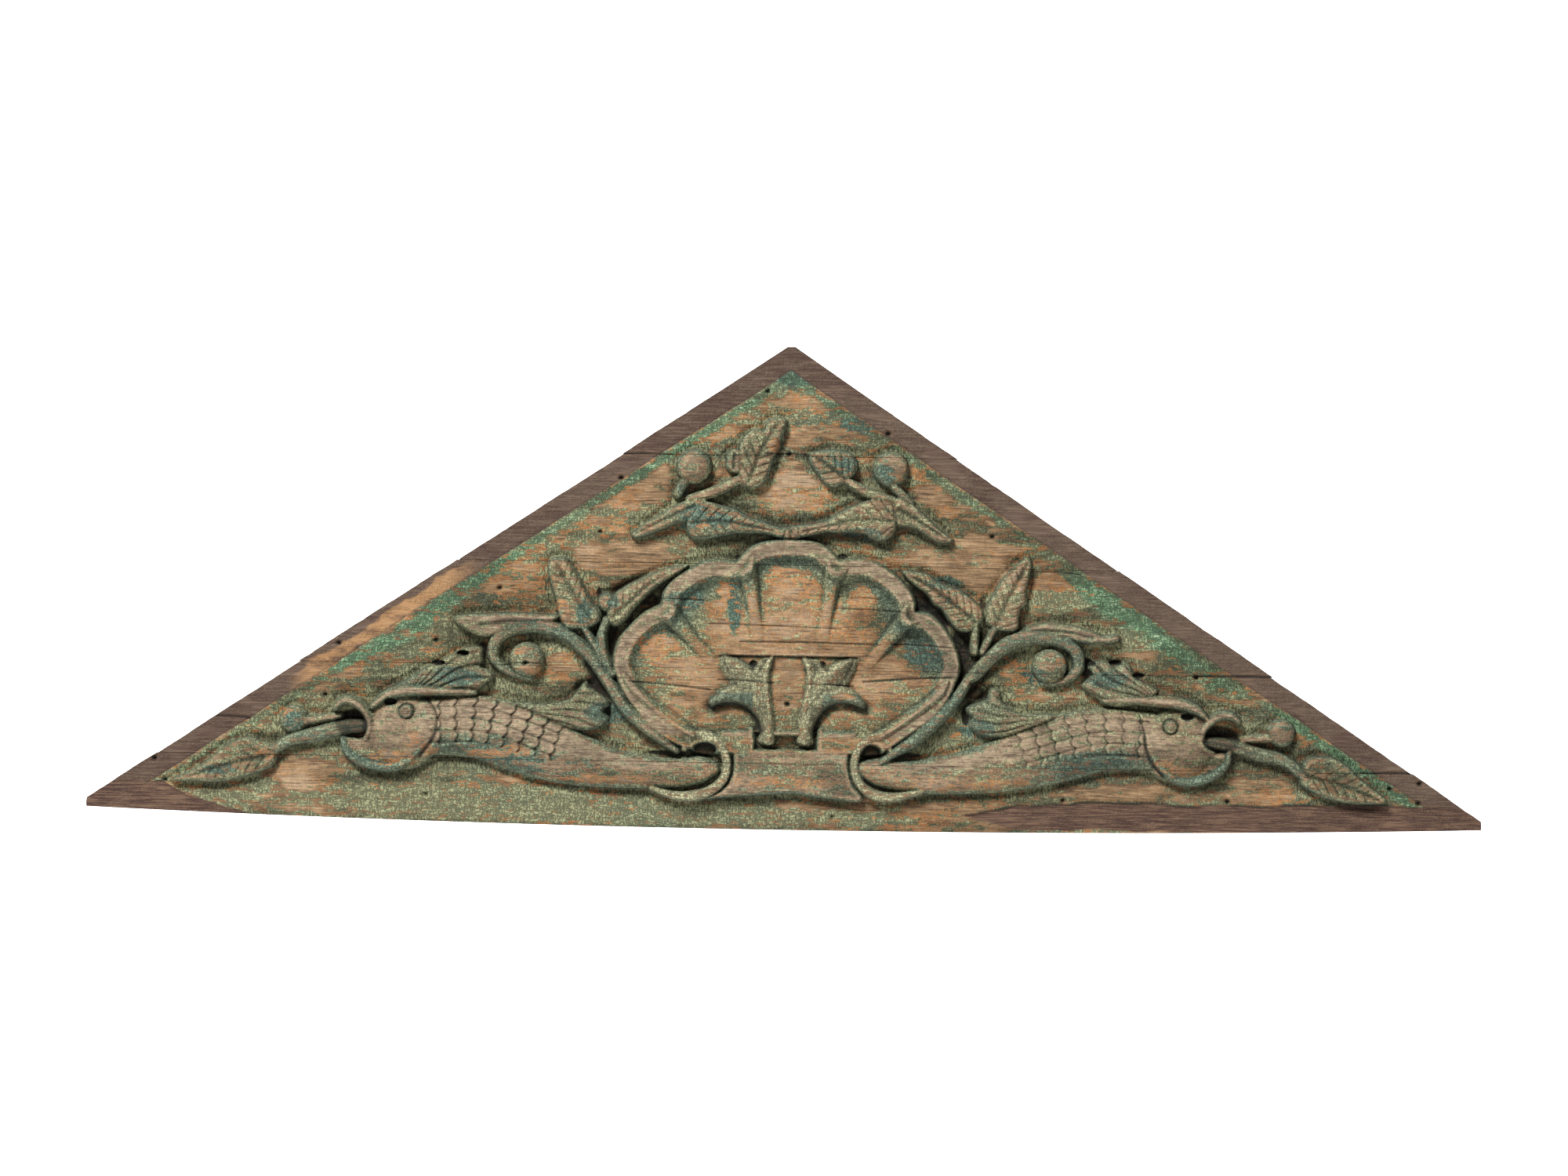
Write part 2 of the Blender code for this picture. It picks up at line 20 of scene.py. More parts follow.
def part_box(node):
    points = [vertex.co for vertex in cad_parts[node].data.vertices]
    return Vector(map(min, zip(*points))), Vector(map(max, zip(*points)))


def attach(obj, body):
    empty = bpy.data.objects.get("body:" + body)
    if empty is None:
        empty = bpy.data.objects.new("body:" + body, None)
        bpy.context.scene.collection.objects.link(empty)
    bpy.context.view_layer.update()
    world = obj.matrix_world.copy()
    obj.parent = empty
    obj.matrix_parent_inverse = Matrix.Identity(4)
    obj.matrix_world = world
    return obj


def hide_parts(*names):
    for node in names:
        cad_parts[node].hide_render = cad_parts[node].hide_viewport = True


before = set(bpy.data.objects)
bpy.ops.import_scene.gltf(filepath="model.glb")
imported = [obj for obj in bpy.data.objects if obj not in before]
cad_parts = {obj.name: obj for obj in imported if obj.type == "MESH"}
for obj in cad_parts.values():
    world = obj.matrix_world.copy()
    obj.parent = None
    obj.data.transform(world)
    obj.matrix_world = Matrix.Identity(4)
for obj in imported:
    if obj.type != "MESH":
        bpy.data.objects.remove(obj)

LOG = logging.getLogger("pediment")
MM = 0.001

Point = tuple[float, float]
Route = Sequence[Point]
Patches = Sequence[tuple[Point, Point]]
Form = tuple[Sequence[float], Sequence[float]]
Part = tuple[slice, slice]
WHOLE: Part = (slice(None), slice(None))
Size = tuple[float, float, float]
Span = tuple[float, ...]
Socket = bpy.types.NodeSocket


@dataclass(frozen=True)
class Panel:
    """Sizes of the whole panel, and where its drawing lies in the room.

    Attributes:
        half: Half the width, tip to tip.
        tip: Height of the sloping edges' lower ends.
        rise: Apex above the tips.
        thickness: Ground thickness, back to ground.
        origin: Height of the room's origin above the foot.
        bow: How far the foot sags below the tips' height.
        blunt: Height of the blunt end at each tip.
        highest: Most that any form stands out from the ground.
    """

    half: float = 892.0
    tip: float = 25.0
    rise: float = 593.0
    thickness: float = 45.0
    origin: float = 230.0
    bow: float = 25.0
    blunt: float = 10.0
    highest: float = 31.5

    def rake_x(self, z: np.ndarray) -> np.ndarray:
        """Gives half the panel's width at heights in the drawing."""
        return np.clip(self.half * (1.0 - (z - self.tip) / self.rise), 1.0, self.half)

    def foot_z(self, x: np.ndarray) -> np.ndarray:
        """Gives the height of the bowed bottom edge at places across the drawing."""
        sag = 1.0 - (np.abs(x) / self.half) ** 2
        return self.tip - self.blunt - (self.bow - self.blunt) * sag


PANEL = Panel()


class Section(Enum):
    """Cross-sections of carved forms: share of the half width, share of the rise."""

    DOME = ((0.0, 0.4, 0.7, 0.9, 1.0), (1.0, 0.97, 0.84, 0.62, 0.4))
    FLAT = ((0.0, 0.75, 0.92, 1.0), (1.0, 1.0, 0.93, 0.8))
    BODY = ((0.0, 0.3, 0.6, 0.8, 0.93, 1.0), (1.0, 0.98, 0.88, 0.7, 0.48, 0.28))


class Layer(Enum):
    """What the map keeps besides the height, each from 0 to 1."""

    COVER = "cover"
    TONE = "tone"
    WORN = "worn"
    # Soiling, and painted shade in hollows, creases, cracks, holes and recesses.
    DIRT = "dirt"
    RIM = "rim"
    STREAK = "streak"
    WARM = "warm"
    TORN = "torn"
    PALE = "pale"
    RAW = "raw"
    SCOOP = "scoop"
    # Lighter and darker patches at random and where listed, plus painted highlights on proud edges of the
    # forms and painted shade in their hollows.
    SHADE = "shade"


@dataclass(frozen=True)
class Dress:
    """How a carved form is finished.

    Attributes:
        cover: Share of the surface that still has paint.
        tone: 0 for sage, 1 for blue-green.
        worn: How far the top is rubbed to grey-brown wood.
        warm: How much orange undercoat shows.
        pale: How bleached the paint or wood is.
    """

    cover: float = 0.5
    tone: float = 0.3
    worn: float = 0.3
    warm: float = 0.2
    pale: float = 0.0

    def layers(self) -> dict[Layer, float]:
        """Gives the value for each layer."""
        return {
            Layer.COVER: self.cover, Layer.TONE: self.tone, Layer.WORN: self.worn,
            Layer.WARM: self.warm, Layer.PALE: self.pale,
        }


SHELL_DRESS = Dress(cover=0.5, tone=0.1, worn=0.2, warm=0.5)
RIM_DRESS = Dress(cover=0.34, tone=0.15, worn=0.85, warm=0.1, pale=0.2)
PALE_DRESS = Dress(cover=0.8, tone=0.1, worn=0.2, warm=0.15, pale=0.8)
TABLET_DRESS = Dress(cover=0.43, tone=0.45, worn=1.0, warm=0.25)
BODY_DRESS = Dress(cover=0.32, tone=0.4, worn=0.95, warm=0.1)
HEAD_DRESS = Dress(cover=0.43, tone=0.3, worn=0.85, warm=0.2)
LIP_DRESS = Dress(cover=0.36, tone=0.4, worn=1.0, warm=0.1)
JAW_DRESS = Dress(cover=0.85, tone=0.8, worn=0.2, warm=0.1)
FIN_DRESS = Dress(cover=0.62, tone=0.4, worn=0.6, warm=0.1)
STEM_DRESS = Dress(cover=0.62, tone=0.6, worn=0.7, warm=0.15)
LEAF_DRESS = Dress(cover=0.57, tone=0.4, worn=0.5, warm=0.4)
OLIVE_DRESS = Dress(cover=0.6, tone=0.2, worn=0.5, warm=0.25, pale=0.15)
BERRY_DRESS = Dress(cover=0.48, tone=0.5, worn=0.65, warm=0.3)
CORNER_DRESS = Dress(cover=0.62, tone=0.36, worn=0.4, warm=0.3)
TAIL_LEAF_DRESS = Dress(cover=0.36, tone=0.45, worn=0.95, warm=0.1)


def eased(values: np.ndarray) -> np.ndarray:
    """Smooth step: values clipped to 0..1 and eased at both ends."""
    t = np.clip(values, 0.0, 1.0)
    return t * t * (3.0 - 2.0 * t)


def bell(away: np.ndarray, width: float | np.ndarray) -> np.ndarray:
    """A soft peak: 1 at 0, a third of it left at the width, and fading to 0."""
    return np.exp(-((away / width) ** 2))


def value_noise(x: np.ndarray, z: np.ndarray, seed: int) -> np.ndarray:
    """Smooth random values over cells of one unit.

    Args:
        x: Places across, in cells.
        z: Places up, in cells.
        seed: Picks the pattern.

    Returns:
        Values from 0 to 1.
    """
    i = np.floor(x).astype(np.int64)
    j = np.floor(z).astype(np.int64)
    u = eased(x - i)
    v = eased(z - j)

    def corner(a: np.ndarray, b: np.ndarray) -> np.ndarray:
        """A random share, 0 to 1, for a corner of the lattice."""
        mixed = (a * 374761393 + b * 668265263 + seed * 1274126177) & 0xFFFFFFFF
        mixed = ((mixed ^ (mixed >> 13)) * 1103515245) & 0xFFFFFFFF
        return ((mixed ^ (mixed >> 16)) & 0xFFFF) / 65535.0

    low = corner(i, j) * (1 - u) + corner(i + 1, j) * u
    high = corner(i, j + 1) * (1 - u) + corner(i + 1, j + 1) * u
    return low * (1 - v) + high * v


def noise(x: np.ndarray, z: np.ndarray, across: float, up: float, seed: int) -> np.ndarray:
    """Three layers of noise, each half the size of the one before.

    Args:
        x: Places across.
        z: Places up.
        across: Size of the largest patches across.
        up: Size of the largest patches up.
        seed: Picks the pattern.

    Returns:
        Values from 0 to 1.
    """
    total = np.zeros_like(x)
    for octave, weight in enumerate((0.5, 0.3, 0.2)):
        scale = 2.0 ** octave
        total += weight * value_noise(x * scale / across, z * scale / up, seed + 17 * octave)
    return total


def blurred(values: np.ndarray, radius: int) -> np.ndarray:
    """The map softened over a radius in samples.

    Args:
        values: The map.
        radius: Half the width of the moving mean.

    Returns:
        The softened map.
    """
    size = 2 * radius + 1
    for axis in (0, 1, 0, 1):
        pad = [(0, 0), (0, 0)]
        pad[axis] = (radius + 1, radius)
        total = np.cumsum(np.pad(values, pad, mode="edge"), axis=axis)
        count = values.shape[axis]
        upper = np.take(total, np.arange(size, size + count), axis=axis)
        lower = np.take(total, np.arange(0, count), axis=axis)
        values = (upper - lower) / size
    return values


def smooth_route(points: Route, closed: bool = False, per_leg: int = 6) -> np.ndarray:
    """Points along a smooth curve through the given ones.

    Args:
        points: The points that the curve goes through.
        closed: Whether the last joins the first.
        per_leg: New points for each leg.

    Returns:
        The curve as rows of x, z.
    """
    given = np.array(points, float)
    if closed:
        ends = np.vstack([given[-1], given, given[0], given[1]])
    else:
        ends = np.vstack([given[0], given, given[-1]])
    legs = len(given) if closed else len(given) - 1
    t = np.linspace(0.0, 1.0, per_leg, endpoint=False)[:, None]
    rows = []
    for leg in range(legs):
        p0, p1, p2, p3 = ends[leg:leg + 4]
        bend = 2 * p0 - 5 * p1 + 4 * p2 - p3
        twist = 3 * p1 - p0 - 3 * p2 + p3
        rows.append(0.5 * (2 * p1 + (p2 - p0) * t + bend * t ** 2 + twist * t ** 3))
    if not closed:
        rows.append(given[-1:])
    return np.vstack(rows)


def read_off(values: Sequence[float], share: np.ndarray) -> np.ndarray:
    """Gives the values at shares, 0 to 1, of the way along an evenly spaced list."""
    return np.interp(share * (len(values) - 1), np.arange(len(values)), values)


@dataclass
class Nearby:
    """A route seen from the samples round it.

    Attributes:
        distance: Distance to the route.
        side: The same with a sign: positive to the left of the way it runs.
        share: How far along its points the nearest place is, 0 to 1.
        along: The same in millimetres.
    """

    distance: np.ndarray
    side: np.ndarray
    share: np.ndarray
    along: np.ndarray


class Carving:
    """The carved face as maps over the drawing, one sample a millimetre.

    Attributes:
        LOW: The drawing's lower left corner.
        SIZE: Samples across and up.
        WALL_SLOPE: How steeply a form's walls fall.
        WALL_REACH: How far out they are worked out.
        NOTHING: Height where there is no form.
        LOWEST_WALL: Height down to which a form's finish covers its walls.
        LOWEST: Deepest that the face is cut below the ground.
        RIB_DEPTH: Depth of a leaf's middle rib.
        RIB_WIDTH: Half its width.
        RIB_DIRT_AND_SHADE: How dark it is.
        VEIN_DEPTH: Depth of a side vein.
        VEIN_WIDTH: Half its width.
        VEIN_SLANT: How far it leans towards the leaf's tip.
        VEIN_DIRT_AND_SHADE: How dark it is.
        RAGGED: Size of the raggedness of tinted edges, across and up.
    """

    LOW: Point = (-900.0, -12.0)
    SIZE: tuple[int, int] = (1801, 643)
    WALL_SLOPE: float = 7.0
    WALL_REACH: float = 8.0
    NOTHING: float = -99.0
    LOWEST_WALL: float = -12.0
    LOWEST: float = -14.0
    RIB_DEPTH: float = 3.8
    RIB_WIDTH: float = 3.0
    # RIB_DIRT_AND_SHADE: How dark it is, with painted shade in the crease.
    RIB_DIRT_AND_SHADE: float = 0.6
    VEIN_DEPTH: float = 2.6
    VEIN_WIDTH: float = 1.1
    VEIN_SLANT: float = 0.9
    # VEIN_DIRT_AND_SHADE: How dark it is, with painted shade in the groove.
    VEIN_DIRT_AND_SHADE: float = 0.42
    RAGGED: Point = (34.0, 11.0)

    def __init__(self) -> None:
        """Starts with flat ground."""
        across = self.LOW[0] + np.arange(self.SIZE[0])
        up = self.LOW[1] + np.arange(self.SIZE[1])
        self.x, self.z = np.meshgrid(across.astype(float), up.astype(float))
        self.ground = np.zeros_like(self.x)
        self.forms = np.full_like(self.x, self.NOTHING)
        self.height = np.zeros_like(self.x)
        self.layers = {layer: np.zeros_like(self.x) for layer in Layer}

    def window(self, points: np.ndarray, reach: float) -> Part:
        """The part of the maps round some points.

        Args:
            points: Rows of x, z.
            reach: How far round them.

        Returns:
            Slices up and across.
        """
        low = np.floor(points.min(axis=0) - reach - np.array(self.LOW)).astype(int)
        high = np.ceil(points.max(axis=0) + reach - np.array(self.LOW)).astype(int) + 1
        low = np.maximum(low, 0)
        return slice(low[1], min(high[1], self.SIZE[1])), slice(low[0], min(high[0], self.SIZE[0]))

    def follow(self, route: Route, part: Part) -> Nearby:
        """Measures every sample of a part against a smooth route.

        Args:
            route: The points that it goes through.
            part: The part of the maps.

        Returns:
            Distances, sides and places along.
        """
        line = smooth_route(route)
        x, z = self.x[part], self.z[part]
        near = Nearby(*(np.full_like(x, start) for start in (1e6, 0.0, 0.0, 0.0)))
        run = 0.0
        for number, (a, b) in enumerate(zip(line, line[1:])):
            dx, dz = b - a
            length = max(math.hypot(dx, dz), 1e-6)
            t = np.clip(((x - a[0]) * dx + (z - a[1]) * dz) / length ** 2, 0.0, 1.0)
            off_x = x - a[0] - t * dx
            off_z = z - a[1] - t * dz
            distance = np.hypot(off_x, off_z)
            closer = distance < near.distance
            sign = np.where(dx * off_z - dz * off_x >= 0, 1.0, -1.0)
            near.distance = np.where(closer, distance, near.distance)
            near.side = np.where(closer, distance * sign, near.side)
            near.share = np.where(closer, (number + t) / (len(line) - 1), near.share)
            near.along = np.where(closer, run + t * length, near.along)
            run += length
        return near

    def depth_inside(self, loop: np.ndarray, part: Part) -> np.ndarray:
        """How deep each sample lies inside a closed outline.

        Args:
            loop: The outline as rows of x, z.
            part: The part of the maps.

        Returns:
            Distance to the outline, negative outside it.
        """
        x, z = self.x[part], self.z[part]
        nearest = np.full_like(x, 1e6)
        inside = np.zeros(x.shape, bool)
        for a, b in zip(loop, np.roll(loop, -1, axis=0)):
            dx, dz = b - a
            square = max(dx * dx + dz * dz, 1e-9)
            t = np.clip(((x - a[0]) * dx + (z - a[1]) * dz) / square, 0.0, 1.0)
            nearest = np.minimum(nearest, np.hypot(x - a[0] - t * dx, z - a[1] - t * dz))
            crosses = (a[1] > z) != (b[1] > z)
            if a[1] != b[1]:
                inside ^= crosses & (x < a[0] + (z - a[1]) * dx / dz)
        return np.where(inside, nearest, -nearest)

    def place(self, part: Part, rise: np.ndarray, dress: Dress) -> None:
        """Lays a form over those already there, wherever it stands higher.

        Args:
            part: The part of the maps.
            rise: Its height, walls included.
            dress: Its finish.
        """
        forms = self.forms[part]
        higher = rise > forms
        self.forms[part] = np.where(higher, rise, forms)
        mask = higher & (rise > self.LOWEST_WALL)
        for layer, value in dress.layers().items():
            self.layers[layer][part][mask] = value

    def blend(self, part: Part, share: np.ndarray, values: dict[Layer, float]) -> None:
        """Pulls layers towards given values.

        Args:
            part: The part of the maps.
            share: How far each sample is pulled, 0 to 1.
            values: The value for each layer.
        """
        for layer, value in values.items():
            old = self.layers[layer][part]
            self.layers[layer][part] = old + (value - old) * share

    def oval(self, part: Part, place: Point, reach: Point) -> np.ndarray:
        """How far out the samples lie in an oval: 0 at its middle and 1 at its edge."""
        return np.hypot((self.x[part] - place[0]) / reach[0], (self.z[part] - place[1]) / reach[1])

    def lower(self, part: Part, share: np.ndarray, floor: float, dirt: float) -> None:
        """Brings the ground and the forms down to a floor.

        Args:
            part: The part of the maps.
            share: How far each sample goes down, 0 to 1.
            floor: The height of the floor.
            dirt: How dark it is, with soiling and painted shade.
        """
        for values in (self.ground, self.forms):
            old = values[part]
            sunk = old * (1 - share) + np.minimum(old, floor) * share
            values[part] = np.where(old < self.NOTHING / 2, old, sunk)
        self.add_dirt_and_shade(part, dirt * share)

    def stroke(
        self, route: Route, half_widths: Sequence[float], rises: Sequence[float],
        section: Section, dress: Dress,
    ) -> None:
        """Carves a form along a route.

        Args:
            route: The points that it goes through.
            half_widths: Half its width, read off along the way.
            rises: Its rise, read off along the way.
            section: Its cross-section.
            dress: Its finish.
        """
        part = self.window(np.array(route, float), max(half_widths) + self.WALL_REACH)
        near = self.follow(route, part)
        half = read_off(half_widths, near.share)
        across = np.minimum(near.distance / np.maximum(half, 0.5), 1.0)
        rise = read_off(rises, near.share) * np.interp(across, *section.value)
        rise -= np.maximum(near.distance - half, 0.0) * self.WALL_SLOPE
        self.place(part, rise, dress)

    def outline(
        self, points: Route, rise: float, bevel: float, dress: Dress,
        rib: Route | None = None, veins: float = 0.0, edge: float = 0.45,
    ) -> None:
        """Carves a form with a given outline.

        Args:
            points: Its outline.
            rise: How far it stands out.
            bevel: Width of the rounding round its edge.
            dress: Its finish.
            rib: The middle line of a leaf, sunk along its length.
            veins: Distance between side veins, or 0 for none.
            edge: Share of the rise at its edge.
        """
        loop = smooth_route(points, closed=True, per_leg=4)
        part = self.window(loop, self.WALL_REACH)
        depth = self.depth_inside(loop, part)
        inner = np.clip(depth / bevel, 0.0, 1.0)
        top = rise * (edge + (1.0 - edge) * np.sqrt(1.0 - (1.0 - inner) ** 2))
        if rib:
            near = self.follow(rib, part)
            top -= self.RIB_DEPTH * bell(near.distance, self.RIB_WIDTH) * eased(depth / 4.0)
            if veins:
                phase = np.mod(near.along - near.distance * self.VEIN_SLANT, veins) / veins
                groove = bell((phase - 0.5) * veins, self.VEIN_WIDTH) * eased(depth / 3.0)
                top -= self.VEIN_DEPTH * groove * (near.distance > self.RIB_WIDTH / 2)
                # Painted shade in the vein grooves.
                self.add_dirt_and_shade(part, self.VEIN_DIRT_AND_SHADE * groove)
            # Painted shade along the sunk rib.
            self.add_dirt_and_shade(part, self.RIB_DIRT_AND_SHADE * bell(near.distance, 1.6) * (depth > 0))
        top += np.minimum(depth, 0.0) * self.WALL_SLOPE
        self.place(part, top, dress)

    def dome(self, place: Point, radius: float, top: float, depth: float, dress: Dress) -> None:
        """Carves a ball.

        Args:
            place: Its middle.
            radius: Its radius.
            top: How far its crown stands out.
            depth: Its front half's depth.
            dress: Its finish.
        """
        part = self.window(np.array([place], float), radius + self.WALL_REACH)
        distance = np.hypot(self.x[part] - place[0], self.z[part] - place[1])
        inner = np.minimum(distance / radius, 1.0)
        rise = top - depth * (1.0 - np.sqrt(1.0 - inner ** 2))
        rise -= np.maximum(distance - radius, 0.0) * self.WALL_SLOPE
        self.place(part, rise, dress)

    def add_dirt_and_shade(self, part: Part, amount: np.ndarray) -> None:
        """Adds darkening, from 0 to 1, to a part of the maps: soiling, and painted shade in hollows and
        recesses.
        """
        dirt = self.layers[Layer.DIRT]
        dirt[part] = np.maximum(dirt[part], amount)

    def pit(self, points: Route, floor: float, dirt: float) -> None:
        """Sinks a hollow with a given outline into whatever is there.

        Args:
            points: Its outline, with sharp corners.
            floor: The height of its bottom.
            dirt: How dark it is, with soiling and painted shade.
        """
        loop = np.array(points, float)
        part = self.window(loop, 3.0)
        self.lower(part, eased((self.depth_inside(loop, part) + 1.0) / 2.0), floor, dirt)

    def sink(self, place: Point, reach: Point, floor: float, dirt: float) -> None:
        """Sinks an oval hollow into whatever is there.

        Args:
            place: Its middle.
            reach: Half its width and half its height.
            floor: The height of its bottom.
            dirt: How dark it is, with soiling and painted shade.
        """
        part = self.window(np.array([place], float), max(reach) + 3.0)
        self.lower(part, eased((1.15 - self.oval(part, place, reach)) / 0.35), floor, dirt)

    def score(self, route: Route, width: float, depth: float, dirt: float) -> None:
        """Cuts a fine line into the finished face.

        Args:
            route: The points that it goes through.
            width: Its half width.
            depth: Its depth.
            dirt: How dark it is, with soiling and painted shade.
        """
        part = self.window(np.array(route, float), width * 3 + 2.0)
        near = self.follow(route, part)
        cut = bell(near.distance, width)
        self.height[part] -= depth * cut
        self.add_dirt_and_shade(part, dirt * cut)

    def tint(self, layer: Layer, place: Point, reach: Point, value: float, grounded: bool = True) -> None:
        """Pulls a layer towards a value round a place.

        Args:
            layer: Which layer.
            place: The middle.
            reach: Half the width and half the height.
            value: The value at the middle.
            grounded: Whether only the ground is tinted, and not the forms.
        """
        part = self.window(np.array([place], float), max(reach) * 1.3)
        ragged = (noise(self.x[part], self.z[part], *self.RAGGED, 5) - 0.5) * 0.9
        share = eased((1.15 - self.oval(part, place, reach) + ragged) / 0.5)
        if grounded:
            share = share * (self.forms[part] < self.ground[part])
        values = self.layers[layer]
        values[part] = values[part] * (1 - share) + value * share


@dataclass(frozen=True)
class Shell:
    """The scallop at the middle of the panel.

    Attributes:
        rise: Rise of its rim.
        rim: Width of its rim.
        step: Drop from the rim into the flutes.
        flute: Extra depth of the flutes near the rim.
        middle: The place that the flutes run out from.
        smooth: How far from there the flutes begin.
        ridge: Half the width of a ridge at the rim.
        taper: How much of that it loses towards the middle.
        groove: Depth of the groove beside a ridge.
        fold: Height of the two low folds under the flutes.
        EDGE: Its outline.
        RIDGES: Middle lines of its ridges, from the rim inwards.
        LOWER: Middle lines of the low folds.
    """

    rise: float = 21.0
    rim: float = 18.0
    step: float = 3.6
    flute: float = 8.5
    middle: Point = (2.0, 175.0)
    smooth: float = 62.0
    ridge: float = 15.0
    taper: float = 8.0
    groove: float = 2.2
    fold: float = 6.0

    EDGE = (
        (-118, 103), (-132, 106), (-155, 117), (-180, 139), (-199, 162), (-208, 176), (-214, 190),
        (-219, 205), (-218, 222), (-211, 242), (-198, 258), (-183, 272), (-168, 280), (-160, 284),
        (-158, 292), (-156, 302), (-146, 315), (-130, 327), (-110, 338), (-90, 342), (-70, 340),
        (-62, 343), (-54, 353), (-40, 363), (-20, 368), (4, 370), (30, 368), (48, 361), (60, 350),
        (66, 344), (82, 346), (104, 345), (124, 336), (142, 322), (156, 306), (162, 292), (163, 281),
        (180, 278), (196, 265), (210, 245), (218, 226), (220, 208), (215, 192), (211, 180), (203, 166),
        (190, 150), (168, 132), (146, 116), (130, 106), (110, 100), (0, 98), (-100, 98),
    )
    RIDGES = (
        ((-58, 346), (-50, 325), (-44, 290), (-37, 245)), ((66, 344), (58, 325), (52, 290), (46, 245)),
        ((-160, 284), (-146, 270), (-124, 245), (-98, 218)),
        ((163, 282), (150, 270), (130, 246), (106, 215)),
    )
    LOWER = (
        ((-208, 192), (-184, 170), (-154, 148), (-118, 122)),
        ((209, 192), (186, 170), (156, 148), (122, 124)),
    )

    def carve(self, face: Carving) -> None:
        """Carves it.

        Args:
            face: The face that it is carved in.
        """
        loop = smooth_route(self.EDGE, closed=True, per_leg=3)
        part = face.window(loop, face.WALL_REACH)
        depth = face.depth_inside(loop, part)
        x, z = face.x[part], face.z[part]
        away = np.hypot(x - self.middle[0], (z - self.middle[1]) * 1.15)
        hollow = eased((away - self.smooth) / 95.0)
        top = self.rise * np.ones_like(x)
        inner = eased((depth - self.rim + 1.0) / 11.0) * eased(away / 90.0)
        top -= (self.step + self.flute * hollow) * inner
        top -= 1.6 * eased((depth - self.rim) / 30.0)
        within = depth > self.rim
        green = bell(depth - self.rim - 8.0, 26.0) * within * eased((z - 185.0) / 30.0)
        for ridge in self.RIDGES:
            near = face.follow(ridge, part)
            fading = 1.0 - 0.8 * eased((near.share - 0.6) / 0.4)
            width = self.ridge - self.taper * near.share
            crest = np.sqrt(np.clip(1.0 - (near.distance / width) ** 2, 0.0, 1.0)) * fading
            floor = self.rise - self.step - self.flute * hollow
            top += crest * np.maximum(self.rise + 1.5 - floor, 0.0) * eased((depth - 6.0) / 10.0)
            groove = bell(near.distance - width, 3.0) * (1.0 - near.share ** 3)
            groove *= eased((depth - self.rim) / 6.0) * eased((1.0 - near.share) / 0.5)
            top -= self.groove * groove
            # Painted shade in the groove beside the ridge.
            face.add_dirt_and_shade(part, 0.3 * groove)
            beside = bell(near.distance - width, 6.0) * (1.0 - near.share ** 2) * within
            green = np.maximum(green, 1.15 * beside)
        for line in self.LOWER:
            near = face.follow(line, part)
            top += self.fold * eased((6.5 - near.distance) / 4.0) * (depth > 8.0)
            # Painted shade in lines beside the low folds.
            face.add_dirt_and_shade(part, 0.5 * bell(near.distance - 8.0, 1.6) * (depth > 6.0))
        # A painted shadow line just inside the rim, where the flutes drop.
        step_line = bell(depth - self.rim - 1.0, 1.8) * (z > 140)
        face.add_dirt_and_shade(part, 0.22 * step_line)
        top -= 2.2 * eased((1.8 - depth) / 1.8)
        top += np.minimum(depth, 0.0) * face.WALL_SLOPE
        face.place(part, top, SHELL_DRESS)
        on_rim = (depth > -0.5) & (depth < self.rim) & (z > 120)
        tone = face.layers[Layer.TONE]
        tone[part] = np.maximum(tone[part], 0.62 * green)
        for layer, value in RIM_DRESS.layers().items():
            if layer is not Layer.TONE:
                face.layers[layer][part][on_rim] = value
        cover = face.layers[Layer.COVER]
        wash = bell(depth - self.rim - 16.0, 30.0) * noise(x, z, 80.0, 40.0, 81)
        painted = np.clip(0.27 + 0.36 * green + 0.55 * wash, 0.0, 0.8)
        cover[part] = np.where(within, painted, cover[part])


